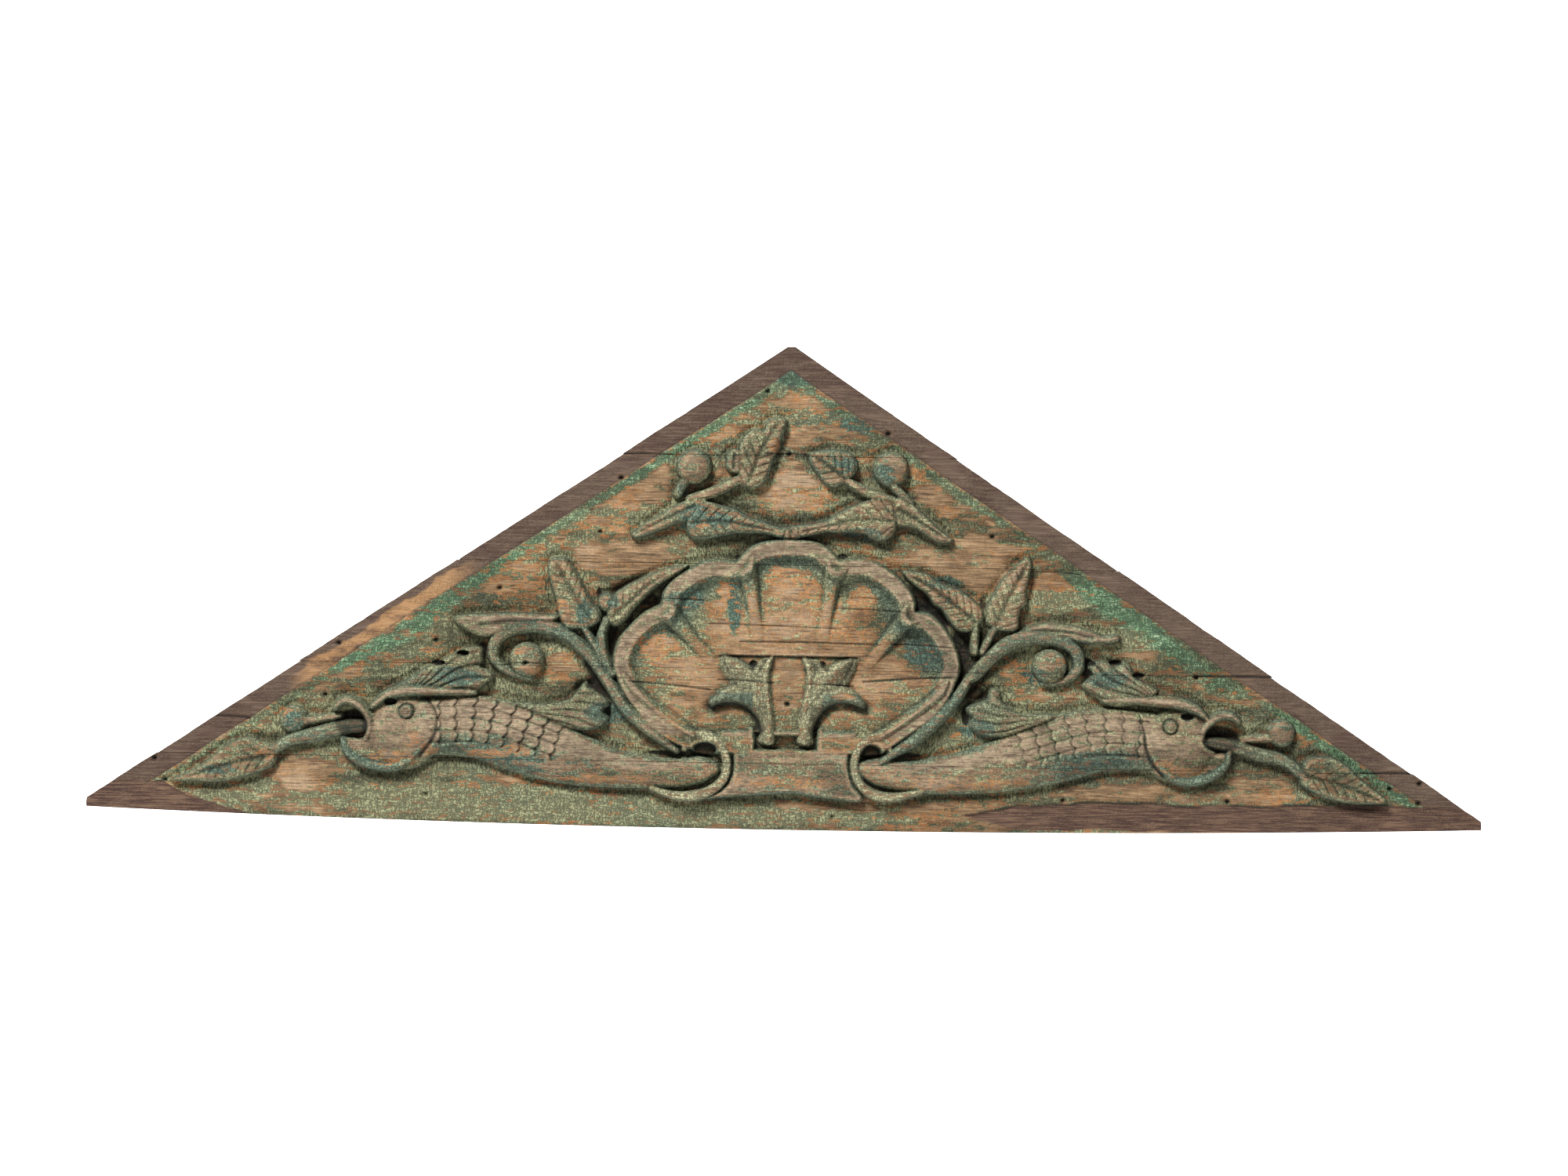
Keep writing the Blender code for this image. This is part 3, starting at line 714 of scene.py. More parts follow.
@dataclass(frozen=True)
class Centre:
    """The tablet, its slot, and the two palmettes that rise from it.

    Attributes:
        rise: Rise of the tablet.
        palmette_rise: Rise of the palmettes.
        panel_drop: How far the ground of the palmettes lies below the shell.
        slot_floor: Height of the slot's bottom.
        slot_edge: How far out the slot's raised edges stand.
        bevel: Width of the rounding round the tablet.
        middle: Middle of the ground behind the palmettes.
        axis: The line that the palmettes mirror each other about.
        recess: Depth of the recess under a palmette's curl, which is also darkened with painted shade.
        chamfer: How much lower a palmette's edge lies.
        TABLET: The tablet's outline.
        SLOT: The slot's outline.
        LEFT: The left palmette's outline.
        RIGHT: The right palmette's outline.
        LOBES: Each lobe's middle line on the right, and half its width along the way.
    """

    rise: float = 19.5
    palmette_rise: float = 25.0
    panel_drop: float = 6.0
    slot_floor: float = 3.0
    slot_edge: float = 44.0
    bevel: float = 5.0
    middle: float = 3.0
    axis: float = 2.5
    recess: float = 9.0
    chamfer: float = 5.0

    TABLET = (
        (-66, 126), (0, 127), (80, 126), (92, 127), (84, 112), (81, 95), (82, 75), (88, 58), (99, 44),
        (92, 39), (64, 42), (32, 46), (5, 49), (-45, 45), (-80, 42), (-98, 40), (-84, 47), (-70, 60),
        (-64, 80), (-66, 98), (-73, 113), (-82, 124),
    )
    SLOT = ((-39, 125), (-39, 103), (41, 103), (41, 125), (20, 121), (-18, 121))
    LEFT = (
        (-82, 221), (-62, 217), (-50, 210), (-42, 204), (-36, 213), (-27, 220), (-17, 222), (-21, 207),
        (-22, 191), (-19, 170), (-15, 145), (-14, 124), (-15, 111), (-32, 111), (-31, 127), (-34, 140),
        (-43, 151), (-56, 160), (-72, 163), (-85, 161), (-94, 156), (-97, 163), (-94, 170), (-85, 178),
        (-71, 186), (-78, 197), (-83, 208),
    )
    RIGHT = (
        (90, 219), (72, 217), (61, 213), (51, 205), (45, 214), (34, 219), (22, 220), (27, 205), (27, 187),
        (23, 167), (18, 147), (16, 127), (17, 111), (35, 111), (35, 126), (40, 142), (51, 156), (65, 164),
        (81, 164), (94, 160), (101, 158), (100, 165), (95, 172), (87, 180), (78, 186), (86, 200),
    )
    LOBES = (
        (((27, 160), (44, 188), (62, 205), (80, 221)), (9, 19, 15, 3)),
        (((22, 150), (26, 180), (25, 205), (19, 221)), (8, 12, 10, 3)),
        (((22, 112), (26, 142), (42, 165), (66, 174), (97, 162)), (9, 11, 13, 12, 5)),
    )

    def carve(self, face: Carving) -> None:
        """Carves them.

        Args:
            face: The face that they are carved in.
        """
        part = face.window(np.array([(-110.0, 118.0), (114.0, 228.0)]), 4.0)
        x, z = face.x[part], face.z[part]
        off = np.abs(x - self.middle)
        inside = eased((100.0 - off) / 26.0)
        inside = inside * eased((223.0 - z) / 2.0) * eased((z - 118.0) / 8.0)
        face.forms[part] -= self.panel_drop * inside
        # Painted shadow along the top of the palmettes' ground under the shell's edge, and painted shade
        # behind the palmettes' middle.
        face.add_dirt_and_shade(part, 0.75 * bell(z - 221.5, 1.8) * (off < 90.0))
        shade = eased((21.0 - off) / 14.0) * eased((222.0 - z) / 10.0) * eased((z - 122.0) / 4.0)
        face.add_dirt_and_shade(part, 0.32 * shade)
        face.outline(self.TABLET, self.rise, self.bevel, TABLET_DRESS, edge=0.8)
        # The slot's floor is a little darker: painted shade.
        face.pit(self.SLOT, self.slot_floor, 0.2)
        for side in (-1, 1):
            edge = 1.0 + side * self.slot_edge
            rises = (self.rise + 1.0, self.rise + 1.0)
            face.stroke(((edge, 128.0), (edge, 102.0)), (3.0, 3.0), rises, Section.FLAT, TABLET_DRESS)
        for side, outline in ((-1, self.LEFT), (1, self.RIGHT)):
            # Dark notches between the lobes and dark pockets beside the tablet: painted shade in small
            # hollows.
            face.sink((2.0 + side * 44.0, 212.0), (4.5, 4.0), 6.0, 0.75)
            face.sink((3.0 + side * 105.0, 101.0), (15.0, 10.0), 1.0, 0.75)
            self.palmette(face, side, outline)

    def palmette(self, face: Carving, side: int, outline: Route) -> None:
        """Carves one palmette: three lobes, each with a ridge along its middle.

        Args:
            face: The face that it is carved in.
            side: -1 for the left one and 1 for the right one.
            outline: Its outline.
        """
        loop = smooth_route(outline, closed=True, per_leg=4)
        part = face.window(loop, 2 * face.WALL_REACH)
        depth = face.depth_inside(loop, part)
        reach = np.abs(face.x[part] - self.axis)
        under = eased((172.0 - face.z[part]) / 16.0) * eased((face.z[part] - 118.0) / 8.0)
        under *= bell(np.minimum(depth, 0.0), 9.0) * eased((reach - 20.0) / 12.0)
        # The recess under the curl is sunk and darkened with painted shade.
        face.forms[part] -= self.recess * under
        face.add_dirt_and_shade(part, 0.62 * under)
        crest = np.zeros_like(depth)
        second = np.zeros_like(depth)
        for route, widths in self.LOBES:
            placed = [(self.axis + side * x, z) for x, z in route]
            near = face.follow(placed, part)
            share = np.clip(1.0 - near.distance / read_off(widths, near.share), 0.0, 1.0)
            second = np.maximum(second, np.minimum(crest, share))
            crest = np.maximum(crest, share)
        top = self.palmette_rise * (0.68 + 0.42 * crest ** 0.8)
        top -= self.chamfer * (1.0 - eased(depth / 3.5))
        top += np.minimum(depth, 0.0) * face.WALL_SLOPE
        face.place(part, top, PALE_DRESS)
        # Painted shade in the valleys between and beside the lobes.
        valley = eased((0.2 - crest) / 0.2) * eased(depth / 4.0) + 0.8 * eased(second / 0.3) * (crest < 0.45)
        face.add_dirt_and_shade(part, 0.5 * np.clip(valley, 0.0, 1.0) * (depth > 0))
        low = (reach > 44.0) & (face.z[part] < 176.0) & (depth > -2.0)
        face.layers[Layer.TONE][part][low] = 0.8
        face.layers[Layer.PALE][part][low] = 0.2


@dataclass(frozen=True)
class Fish:
    """One of the two fish that lie along the foot of the panel.

    Attributes:
        body: Middle line of the body, from the head to the tail.
        body_widths: Half its width along the way.
        head: Middle of the head.
        scales_from: Where the first ring of scales lies, along the body.
        ring: Distance between rings of scales.
        lip: Middle line of the upper lip.
        jaw: Middle line of the lower jaw.
        chin: Outline of the chin.
        brow: Middle line of the brow.
        eye: Middle of the eye.
        brow_hole: The hole between brow and eye, painted near black as shade.
        mouth: Middle of the open mouth.
        gill: The line where the head overlaps the body.
        crest: Outline of the fin behind the head.
        crest_root: Where its ribs spread from.
        crest_holes: Holes between its lobes, painted dark as shade.
        dorsal: Outline of the fin over the tail.
        dorsal_root: Where its ribs spread from.
        volute: Middle line of the band that hooks round the tail.
        rise: Rise of the body at the head.
        rows: Width of a row of scales.
        rings: Number of rings of scales.
        step: Height of a scale's free edge.
        seam: Depth of the line round it.
        head_radius: Radius of the head.
        head_rise: Rise of the head.
        head_depth: Depth of its dome.
        fin_rise: Rise of both fins.
        fin_bevel: Width of the rounding round them.
        ray_depth: Depth between their ribs.
        dorsal_rays: Ribs of the fin over the tail, for each radian.
        crest_rays: Ribs of the fin behind the head, for each radian.
        fin_hole_reach: Half the width and height of the holes in it.
        brow_hole_reach: The same for the hole under the brow.
        mouth_reach: The same for the mouth.
        eye_radius: Radius of the eye.
        eye_rise: Rise of the eye.
        eye_depth: Depth of its dome.
        eye_rings: Radius and depth of the lines round it and in it.
        lip_form: Half widths and rises of the lip along its way.
        jaw_form: The same for the jaw.
        brow_form: The same for the brow.
        volute_form: The same for the band round the tail.
    """

    body: Route
    body_widths: Sequence[float]
    head: Point
    scales_from: float
    ring: float
    lip: Route
    jaw: Route
    chin: Route
    brow: Route
    eye: Point
    brow_hole: Point
    mouth: Point
    gill: Route
    crest: Route
    crest_root: Point
    crest_holes: Route
    dorsal: Route
    dorsal_root: Point
    volute: Route

    rise: float = 25.0
    rows: float = 15.0
    rings: int = 8
    step: float = 3.4
    seam: float = 1.2
    head_radius: float = 49.0
    head_rise: float = 27.5
    head_depth: float = 26.0
    fin_rise: float = 19.0
    fin_bevel: float = 9.0
    ray_depth: float = 3.4
    dorsal_rays: float = 7.0
    crest_rays: float = 5.5
    fin_hole_reach: Point = (8.0, 3.4)
    brow_hole_reach: Point = (8.0, 4.5)
    mouth_reach: Point = (24.0, 17.0)
    eye_radius: float = 8.5
    eye_rise: float = 31.0
    eye_depth: float = 7.0
    eye_rings: Route = ((9.5, 2.4), (4.0, 1.2))
    lip_form: Form = ((3, 5.5, 6, 5.5, 5, 3.5), (17, 22, 24, 24, 21, 16))
    jaw_form: Form = ((3.5, 6, 6.5, 6.5, 6, 5.5, 4), (16, 20, 21, 21, 22, 22, 21))
    brow_form: Form = ((3, 6.5, 8, 7, 5.5, 3), (21, 28, 28.5, 28, 24, 18))
    volute_form: Form = ((3, 4.5, 5, 5, 4.5, 4.5, 5, 5, 4, 2), (20, 22.5, 23, 23, 23, 23, 22, 21, 17))

    def scales(self, face: Carving) -> None:
        """Cuts the overlapping scales into the body.

        Args:
            face: The face that they are carved in.
        """
        part = face.window(np.array(self.body, float), 46.0)
        near = face.follow(self.body, part)
        half = read_off(self.body_widths, near.share)
        back_side = 1.0 if self.body[-1][0] > self.body[0][0] else -1.0
        across = near.side * back_side
        row = np.mod(across + 4.0, self.rows) / self.rows
        bulge = 5.0 * (1.0 - (2.0 * row - 1.0) ** 2)
        place = (near.along - self.scales_from - bulge) / self.ring
        ring = np.mod(place, 1.0)
        lowest = -0.62 + 0.05 * place
        scaled = (place > -0.4) & (place < self.rings)
        scaled = scaled & (near.distance < half - 2.0) & (across > lowest * half)
        fade = scaled * (1.0 - 0.4 * eased((place - 6.5) / 1.5))
        face.forms[part] += self.step * (ring - 0.6) * fade * (face.forms[part] > 0)
        face.forms[part] -= 1.7 * (2.0 * row - 1.0) ** 2 * fade
        gap = np.minimum(ring, 1.0 - ring) * self.ring
        seam = np.minimum(row, 1.0 - row) * self.rows
        worn_line = noise(face.x[part], face.z[part], 30.0, 30.0, 77)
        line = bell(gap, 1.4) * (0.75 + 0.5 * worn_line)
        cross = bell(seam, 1.3) * (0.35 + 0.9 * worn_line)
        cut = np.maximum(line, cross) * fade
        face.forms[part] -= self.seam * cut
        # The lines round the scales are darkened with painted shade.
        face.add_dirt_and_shade(part, np.clip(0.78 * cut, 0.0, 0.85))
        ragged = 0.5 * (noise(face.x[part], face.z[part], 40.0, 20.0, 78) - 0.5)
        below = eased((lowest + 0.5 + ragged - across / np.maximum(half, 1.0)) / 0.5)
        below = below * (near.distance < half)
        end = self.scales_from + (self.rings + 3) * self.ring
        fore = eased((end + 160.0 * ragged - near.along) / 150.0)
        face.blend(part, below * fore, {Layer.TONE: 0.62, Layer.COVER: 0.66, Layer.WORN: 0.5})
        face.blend(part, below * (1.0 - fore), {Layer.WARM: 0.5, Layer.WORN: 0.7, Layer.COVER: 0.45})

    def fin(self, face: Carving, outline: Route, root: Point, rays: float) -> None:
        """Carves a ribbed fin.

        Args:
            face: The face that it is carved in.
            outline: Its outline.
            root: Where its ribs spread from.
            rays: Ribs for each radian.
        """
        face.outline(outline, self.fin_rise, self.fin_bevel, FIN_DRESS, edge=0.5)
        loop = smooth_route(outline, closed=True, per_leg=4)
        part = face.window(loop, 2.0)
        depth = face.depth_inside(loop, part)
        off_x, off_z = face.x[part] - root[0], face.z[part] - root[1]
        angle = np.arctan2(off_z, off_x)
        bend = 0.25 * np.sin(np.hypot(off_x, off_z) / 14.0)
        groove = (0.5 - 0.5 * np.cos((angle * rays + bend) * 2 * math.pi)) ** 4 * (depth > 1.0)
        face.forms[part] -= self.ray_depth * groove
        # The grooves between the ribs are darkened with painted shade.
        face.add_dirt_and_shade(part, 0.5 * groove)

    def carve(self, face: Carving) -> None:
        """Carves it.

        Args:
            face: The face that it is carved in.
        """
        rises = [self.rise * share for share in (1.0, 1.0, 1.0, 0.92, 0.8, 0.72)]
        face.stroke(self.body, self.body_widths, rises, Section.BODY, BODY_DRESS)
        self.scales(face)
        self.fin(face, self.dorsal, self.dorsal_root, self.dorsal_rays)
        self.fin(face, self.crest, self.crest_root, self.crest_rays)
        # The holes in the crest are painted dark as shade.
        for hole in self.crest_holes:
            face.sink(hole, self.fin_hole_reach, -6.0, 0.9)
        face.outline(self.chin, 13.0, 10.0, HEAD_DRESS, edge=0.5)
        face.dome(self.head, self.head_radius, self.head_rise, self.head_depth, HEAD_DRESS)
        # The open mouth is painted dark as shade.
        face.sink(self.mouth, self.mouth_reach, -5.0, 0.85)
        face.stroke(self.jaw, *self.jaw_form, Section.DOME, JAW_DRESS)
        face.stroke(self.lip, *self.lip_form, Section.DOME, LIP_DRESS)
        face.stroke(self.brow, *self.brow_form, Section.DOME, LIP_DRESS)
        # The hole under the brow is painted near black as shade.
        face.sink(self.brow_hole, self.brow_hole_reach, 8.0, 0.95)
        face.dome(self.eye, self.eye_radius, self.eye_rise, self.eye_depth, HEAD_DRESS)
        # Painted shade in the lines round and in the eye.
        for radius, depth in self.eye_rings:
            part = face.window(np.array([self.eye], float), 14.0)
            off = np.hypot(face.x[part] - self.eye[0], face.z[part] - self.eye[1])
            ring = bell(off - radius, 1.2)
            face.forms[part] -= depth * ring
            face.add_dirt_and_shade(part, 0.8 * ring)
        # The gill line, where the head overlaps the body, is darkened with painted shade, wider towards the
        # bottom.
        part = face.window(np.array(self.gill, float), 8.0)
        near = face.follow(self.gill, part)
        width = 1.5 + 1.4 * eased((150.0 - face.z[part]) / 60.0)
        line = bell(near.distance, width)
        face.forms[part] -= 3.4 * line
        face.add_dirt_and_shade(part, 0.8 * line)
        face.stroke(self.volute, *self.volute_form, Section.FLAT, PALE_DRESS)


LEFT_FISH = Fish(
    body=(
        (-462, 124), (-435, 125), (-405, 126), (-375, 122), (-346, 113), (-318, 103), (-290, 93),
        (-255, 83), (-221, 75), (-189, 72), (-150, 70), (-109, 75), (-92, 77),
    ),
    body_widths=(36, 36, 39, 40, 42, 40, 37, 31, 24, 21, 19, 18, 10), head=(-487, 118), scales_from=19.0,
    ring=21.3,
    lip=((-574, 145), (-566, 155), (-553, 156), (-540, 148), (-531, 135), (-529, 120), (-534, 107)),
    jaw=(
        (-563, 108), (-558, 93), (-543, 81), (-523, 75), (-502, 73), (-486, 78), (-470, 91), (-455, 110),
        (-447, 130),
    ),
    chin=(
        (-566, 110), (-563, 95), (-548, 80), (-523, 72), (-500, 70), (-478, 80), (-480, 110), (-520, 118),
        (-540, 108), (-550, 108),
    ),
    brow=((-527, 148), (-513, 160), (-492, 169), (-462, 171), (-428, 170), (-396, 169)), eye=(-482, 144),
    brow_hole=(-503, 156), mouth=(-551, 128),
    gill=((-457, 160), (-446, 147), (-443, 132), (-447, 112), (-464, 88)),
    crest=(
        (-492, 176), (-481, 184), (-459, 199), (-445, 206), (-427, 216), (-409, 225), (-390, 226),
        (-387, 212), (-390, 202), (-373, 192), (-383, 181), (-400, 170), (-440, 170),
    ),
    crest_root=(-480, 165), crest_holes=((-443, 206), (-413, 219)),
    dorsal=(
        (-346, 156), (-308, 155), (-279, 160), (-266, 171), (-256, 183), (-250, 176), (-226, 160),
        (-234, 149), (-226, 138), (-240, 127), (-252, 124), (-269, 125), (-288, 131), (-305, 138),
    ),
    dorsal_root=(-340, 152),
    volute=(
        (-128, 103), (-118, 119), (-100, 120), (-84, 111), (-76, 97), (-73, 80), (-78, 63), (-94, 49),
        (-118, 42), (-142, 43), (-170, 52),
    ),
)
RIGHT_FISH = Fish(
    body=(
        (474, 120), (447, 122), (420, 123), (393, 121), (364, 114), (334, 104), (302, 95), (268, 85),
        (236, 78), (205, 74), (165, 71), (120, 76), (98, 80),
    ),
    body_widths=(37, 37, 39, 40, 42, 40, 37, 32, 27, 24, 20, 18, 11), head=(502, 117), scales_from=20.0,
    ring=21.3, lip=((578, 148), (568, 156), (555, 156), (542, 149), (532, 137), (530, 121), (536, 106)),
    jaw=(
        (567, 110), (562, 94), (547, 81), (526, 73), (506, 73), (488, 80), (473, 95), (460, 113),
        (455, 132),
    ),
    chin=(
        (570, 112), (567, 96), (552, 79), (528, 70), (505, 69), (484, 80), (486, 110), (524, 118),
        (543, 108), (555, 108),
    ),
    brow=((537, 151), (523, 163), (503, 170), (474, 173), (440, 174), (405, 172)), eye=(490, 141),
    brow_hole=(512, 154), mouth=(557, 126),
    gill=((452, 148), (457, 131), (459, 114), (467, 95), (482, 78)),
    crest=(
        (386, 216), (396, 222), (408, 222), (417, 214), (425, 219), (436, 220), (446, 201), (456, 196),
        (473, 186), (465, 175), (431, 166), (410, 168), (390, 182), (378, 192), (392, 204),
    ),
    crest_root=(478, 168), crest_holes=((420, 221), (450, 205), (386, 220)),
    dorsal=(
        (346, 152), (302, 153), (287, 159), (275, 169), (272, 182), (262, 184), (257, 170), (232, 160),
        (239, 148), (236, 137), (246, 129), (266, 124), (288, 127), (310, 134),
    ),
    dorsal_root=(345, 148),
    volute=(
        (134, 106), (127, 119), (114, 121), (99, 112), (91, 99), (89, 85), (92, 69), (103, 54), (124, 45),
        (148, 46), (176, 53),
    ),
)


class Shape(Enum):
    """How a piece of foliage is given: by its middle line, its outline or its middle."""

    STROKE = "stroke"
    OUTLINE = "outline"
    BALL = "ball"


@dataclass(frozen=True)
class Foliage:
    """One leaf, stem, twig or berry.

    Attributes:
        shape: How it is given.
        points: Its middle line, its outline, or its middle.
        widths: Half widths of a stroke, the bevel of an outline, or the radius of a ball.
        rises: Its rises.
        dress: Its finish.
        section: Cross-section of a stroke.
        rib: Middle rib of a leaf.
        veins: Distance between its side veins.
    """

    shape: Shape
    points: Route
    widths: Sequence[float]
    rises: Sequence[float]
    dress: Dress
    section: Section = Section.DOME
    rib: Route | None = None
    veins: float = 0.0

    def carve(self, face: Carving) -> None:
        """Carves it.

        Args:
            face: The face that it is carved in.
        """
        if self.shape is Shape.STROKE:
            face.stroke(self.points, self.widths, self.rises, self.section, self.dress)
        elif self.shape is Shape.OUTLINE:
            face.outline(self.points, self.rises[0], self.widths[0], self.dress, self.rib, self.veins)
        else:
            face.dome(self.points[0], self.widths[0], self.rises[0], self.widths[0] * 0.9, self.dress)


def stem(points: Route, widths: Sequence[float], rises: Sequence[float], dress: Dress) -> Foliage:
    """A stem or twig along its middle line, with half its width and its rise along the way."""
    return Foliage(Shape.STROKE, points, widths, rises, dress)


def leaf(points: Route, rise: float, dress: Dress, rib: Route, veins: float) -> Foliage:
    """A leaf with an outline, a rise, a sunk rib, and veins so far apart, or 0 for none."""
    return Foliage(Shape.OUTLINE, points, (8.0,), (rise,), dress, rib=rib, veins=veins)


def berry(place: Point, radius: float, rise: float, dress: Dress = BERRY_DRESS) -> Foliage:
    """A berry or bud."""
    return Foliage(Shape.BALL, (place,), (radius,), (rise,), dress)


SIDE_SPRAYS = (
    stem(((-228, 200), (-241, 225), (-254, 247), (-264, 262)), (4, 5, 4.5), (15, 16, 15), STEM_DRESS),
    stem(((-222, 196), (-233, 222), (-236, 245), (-230, 264)), (5, 6, 5), (16, 17, 15), STEM_DRESS),
    stem((
        (-138, 100), (-172, 124), (-202, 150), (-224, 182), (-248, 215), (-278, 243), (-312, 256),
        (-348, 253), (-369, 238), (-372, 213), (-352, 196), (-326, 190),
    ), (4, 7, 8, 7.5, 7, 8, 10, 10, 8.5, 7, 5, 4), (20, 24, 23, 21, 19, 19, 19, 18, 18, 17, 14, 9),
        STEM_DRESS),
    leaf((
        (-291, 268), (-320, 270), (-348, 271), (-387, 269), (-418, 267), (-424, 260), (-407, 248),
        (-389, 241), (-370, 243), (-350, 252), (-310, 257),
    ), 19.0, TAIL_LEAF_DRESS, ((-300, 262), (-350, 261), (-390, 255)), 0.0),
    leaf((
        (-304, 339), (-288, 343), (-279, 338), (-269, 322), (-258, 303), (-249, 287), (-240, 275),
        (-238, 265), (-249, 256), (-264, 253), (-280, 253), (-290, 267), (-294, 286), (-300, 305),
        (-304, 322),
    ), 20.0, LEAF_DRESS, ((-248, 264), (-268, 290), (-294, 334)), 12.0),
    leaf((
        (-226, 262), (-216, 258), (-205, 266), (-195, 280), (-176, 301), (-158, 315), (-135, 329),
        (-128, 336), (-145, 333), (-165, 327), (-185, 318), (-204, 308), (-220, 297), (-230, 280),
    ), 20.0, OLIVE_DRESS, ((-222, 268), (-198, 290), (-168, 317), (-138, 333)), 12.0),
    berry((-230, 287), 10.5, 22.0, LEAF_DRESS),
    berry((-246, 270), 8.0, 21.0, LEAF_DRESS),
    berry((-331, 212), 21.5, 27.0),
    stem(((240, 232), (240, 248), (240, 268)), (5, 5, 5), (15, 16, 15), STEM_DRESS),
    stem(((250, 232), (258, 248), (268, 268)), (5, 4, 5), (14, 16, 15), STEM_DRESS),
    stem(
        ((122, 88), (140, 102), (165, 119), (194, 146), (218, 174), (232, 196)), (3, 6, 9, 9, 8, 5),
        (20, 23, 23, 21, 19, 15), STEM_DRESS,
    ),
    stem((
        (232, 196), (243, 205), (268, 232), (300, 250), (338, 251), (366, 238), (373, 214),
        (354, 197), (328, 193),
    ), (5, 8, 9, 10, 9, 8, 7, 5, 4), (15, 18, 19, 19, 18, 18, 17, 14, 9), STEM_DRESS),
    leaf((
        (303, 262), (330, 270), (349, 269), (368, 266), (387, 261), (404, 255), (421, 257),
        (425, 252), (415, 246), (388, 245), (370, 247), (350, 253), (325, 258),
    ), 19.0, TAIL_LEAF_DRESS, ((310, 261), (350, 260), (390, 253)), 0.0),
    leaf((
        (304, 353), (297, 347), (277, 328), (265, 309), (255, 290), (253, 276), (257, 267),
        (273, 260), (293, 261), (295, 277), (298, 288), (305, 296), (304, 311), (308, 330),
        (310, 347),
    ), 20.0, OLIVE_DRESS, ((266, 266), (282, 300), (305, 346)), 12.0),
    leaf((
        (148, 333), (162, 332), (177, 330), (190, 320), (206, 314), (222, 308), (237, 297),
        (248, 286), (250, 274), (241, 264), (231, 258), (216, 261), (206, 272), (197, 285),
        (187, 292), (178, 305), (163, 315), (152, 324),
    ), 20.0, LEAF_DRESS, ((240, 270), (215, 290), (184, 312), (153, 329)), 12.0),
    berry((336, 215), 21.5, 27.0),
)
TOP_SPRAYS = (
    stem(((-126, 420), (-96, 430), (-72, 442), (-56, 452)), (6, 7, 6, 5), (14, 17, 17, 15), OLIVE_DRESS),
    stem(((70, 450), (90, 437), (112, 427), (134, 420)), (5, 6, 7, 7), (15, 17, 17, 14), OLIVE_DRESS),
    leaf((
        (-200, 373), (-186, 386), (-167, 398), (-144, 412), (-122, 421), (-104, 418), (-120, 396),
        (-144, 389), (-167, 379), (-189, 371),
    ), 19.0, LEAF_DRESS, ((-195, 375), (-160, 393), (-120, 412)), 0.0),
    leaf((
        (138, 426), (155, 420), (170, 407), (185, 393), (199, 381), (210, 373), (191, 371),
        (170, 383), (155, 390), (138, 392), (128, 408),
    ), 19.0, OLIVE_DRESS, ((140, 412), (165, 398), (203, 375)), 0.0),
    leaf((
        (-123, 409), (-129, 396), (-129, 381), (-122, 371), (-109, 370), (-94, 372), (-79, 375),
        (-65, 378), (-50, 378), (-35, 379), (-21, 376), (-10, 372), (3, 371), (3, 386), (-12, 386),
        (-31, 392), (-41, 395), (-57, 401), (-68, 408), (-85, 412), (-101, 417), (-114, 417),
    ), 22.0, LEAF_DRESS, ((-124, 390), (-90, 393), (-50, 388), (-20, 382)), 14.0),
    leaf((
        (3, 371), (23, 375), (45, 381), (64, 381), (82, 382), (97, 380), (104, 375), (116, 371),
        (127, 375), (136, 386), (137, 401), (134, 417), (123, 424), (106, 424), (88, 417), (76, 412),
        (63, 405), (50, 396), (31, 391), (9, 388), (3, 386),
    ), 22.0, OLIVE_DRESS, ((130, 396), (95, 398), (52, 390), (20, 382)), 14.0),
    leaf((
        (-64, 442), (-54, 437), (-45, 436), (-33, 442), (-26, 456), (-22, 471), (-17, 483),
        (-13, 496), (-8, 510), (-6, 523), (-17, 526), (-29, 522), (-33, 508), (-45, 511), (-55, 504),
        (-63, 493), (-66, 470),
    ), 20.0, OLIVE_DRESS, ((-52, 442), (-42, 472), (-28, 500), (-13, 521)), 13.0),
    leaf(
        ((-80, 478), (-80, 462), (-74, 456), (-62, 455), (-60, 470), (-64, 484), (-74, 484)), 19.0,
        FIN_DRESS, ((-72, 460), (-70, 480)), 0.0,
    ),
    leaf((
        (26, 481), (40, 484), (58, 486), (74, 483), (84, 474), (86, 463), (80, 453), (72, 446),
        (62, 440), (52, 439), (45, 444), (38, 453), (30, 463), (26, 472),
    ), 20.0, LEAF_DRESS, ((72, 448), (52, 464), (30, 479)), 11.0),
    stem(((-127, 452), (-135, 440), (-142, 427)), (6, 6.5, 6), (18, 17, 13), FIN_DRESS),
    stem(((128, 452), (136, 438), (155, 419)), (6, 6, 5), (18, 16, 13), STEM_DRESS),
    berry((-122, 462), 22.0, 27.0),
    berry((129, 463), 22.0, 27.0),
)
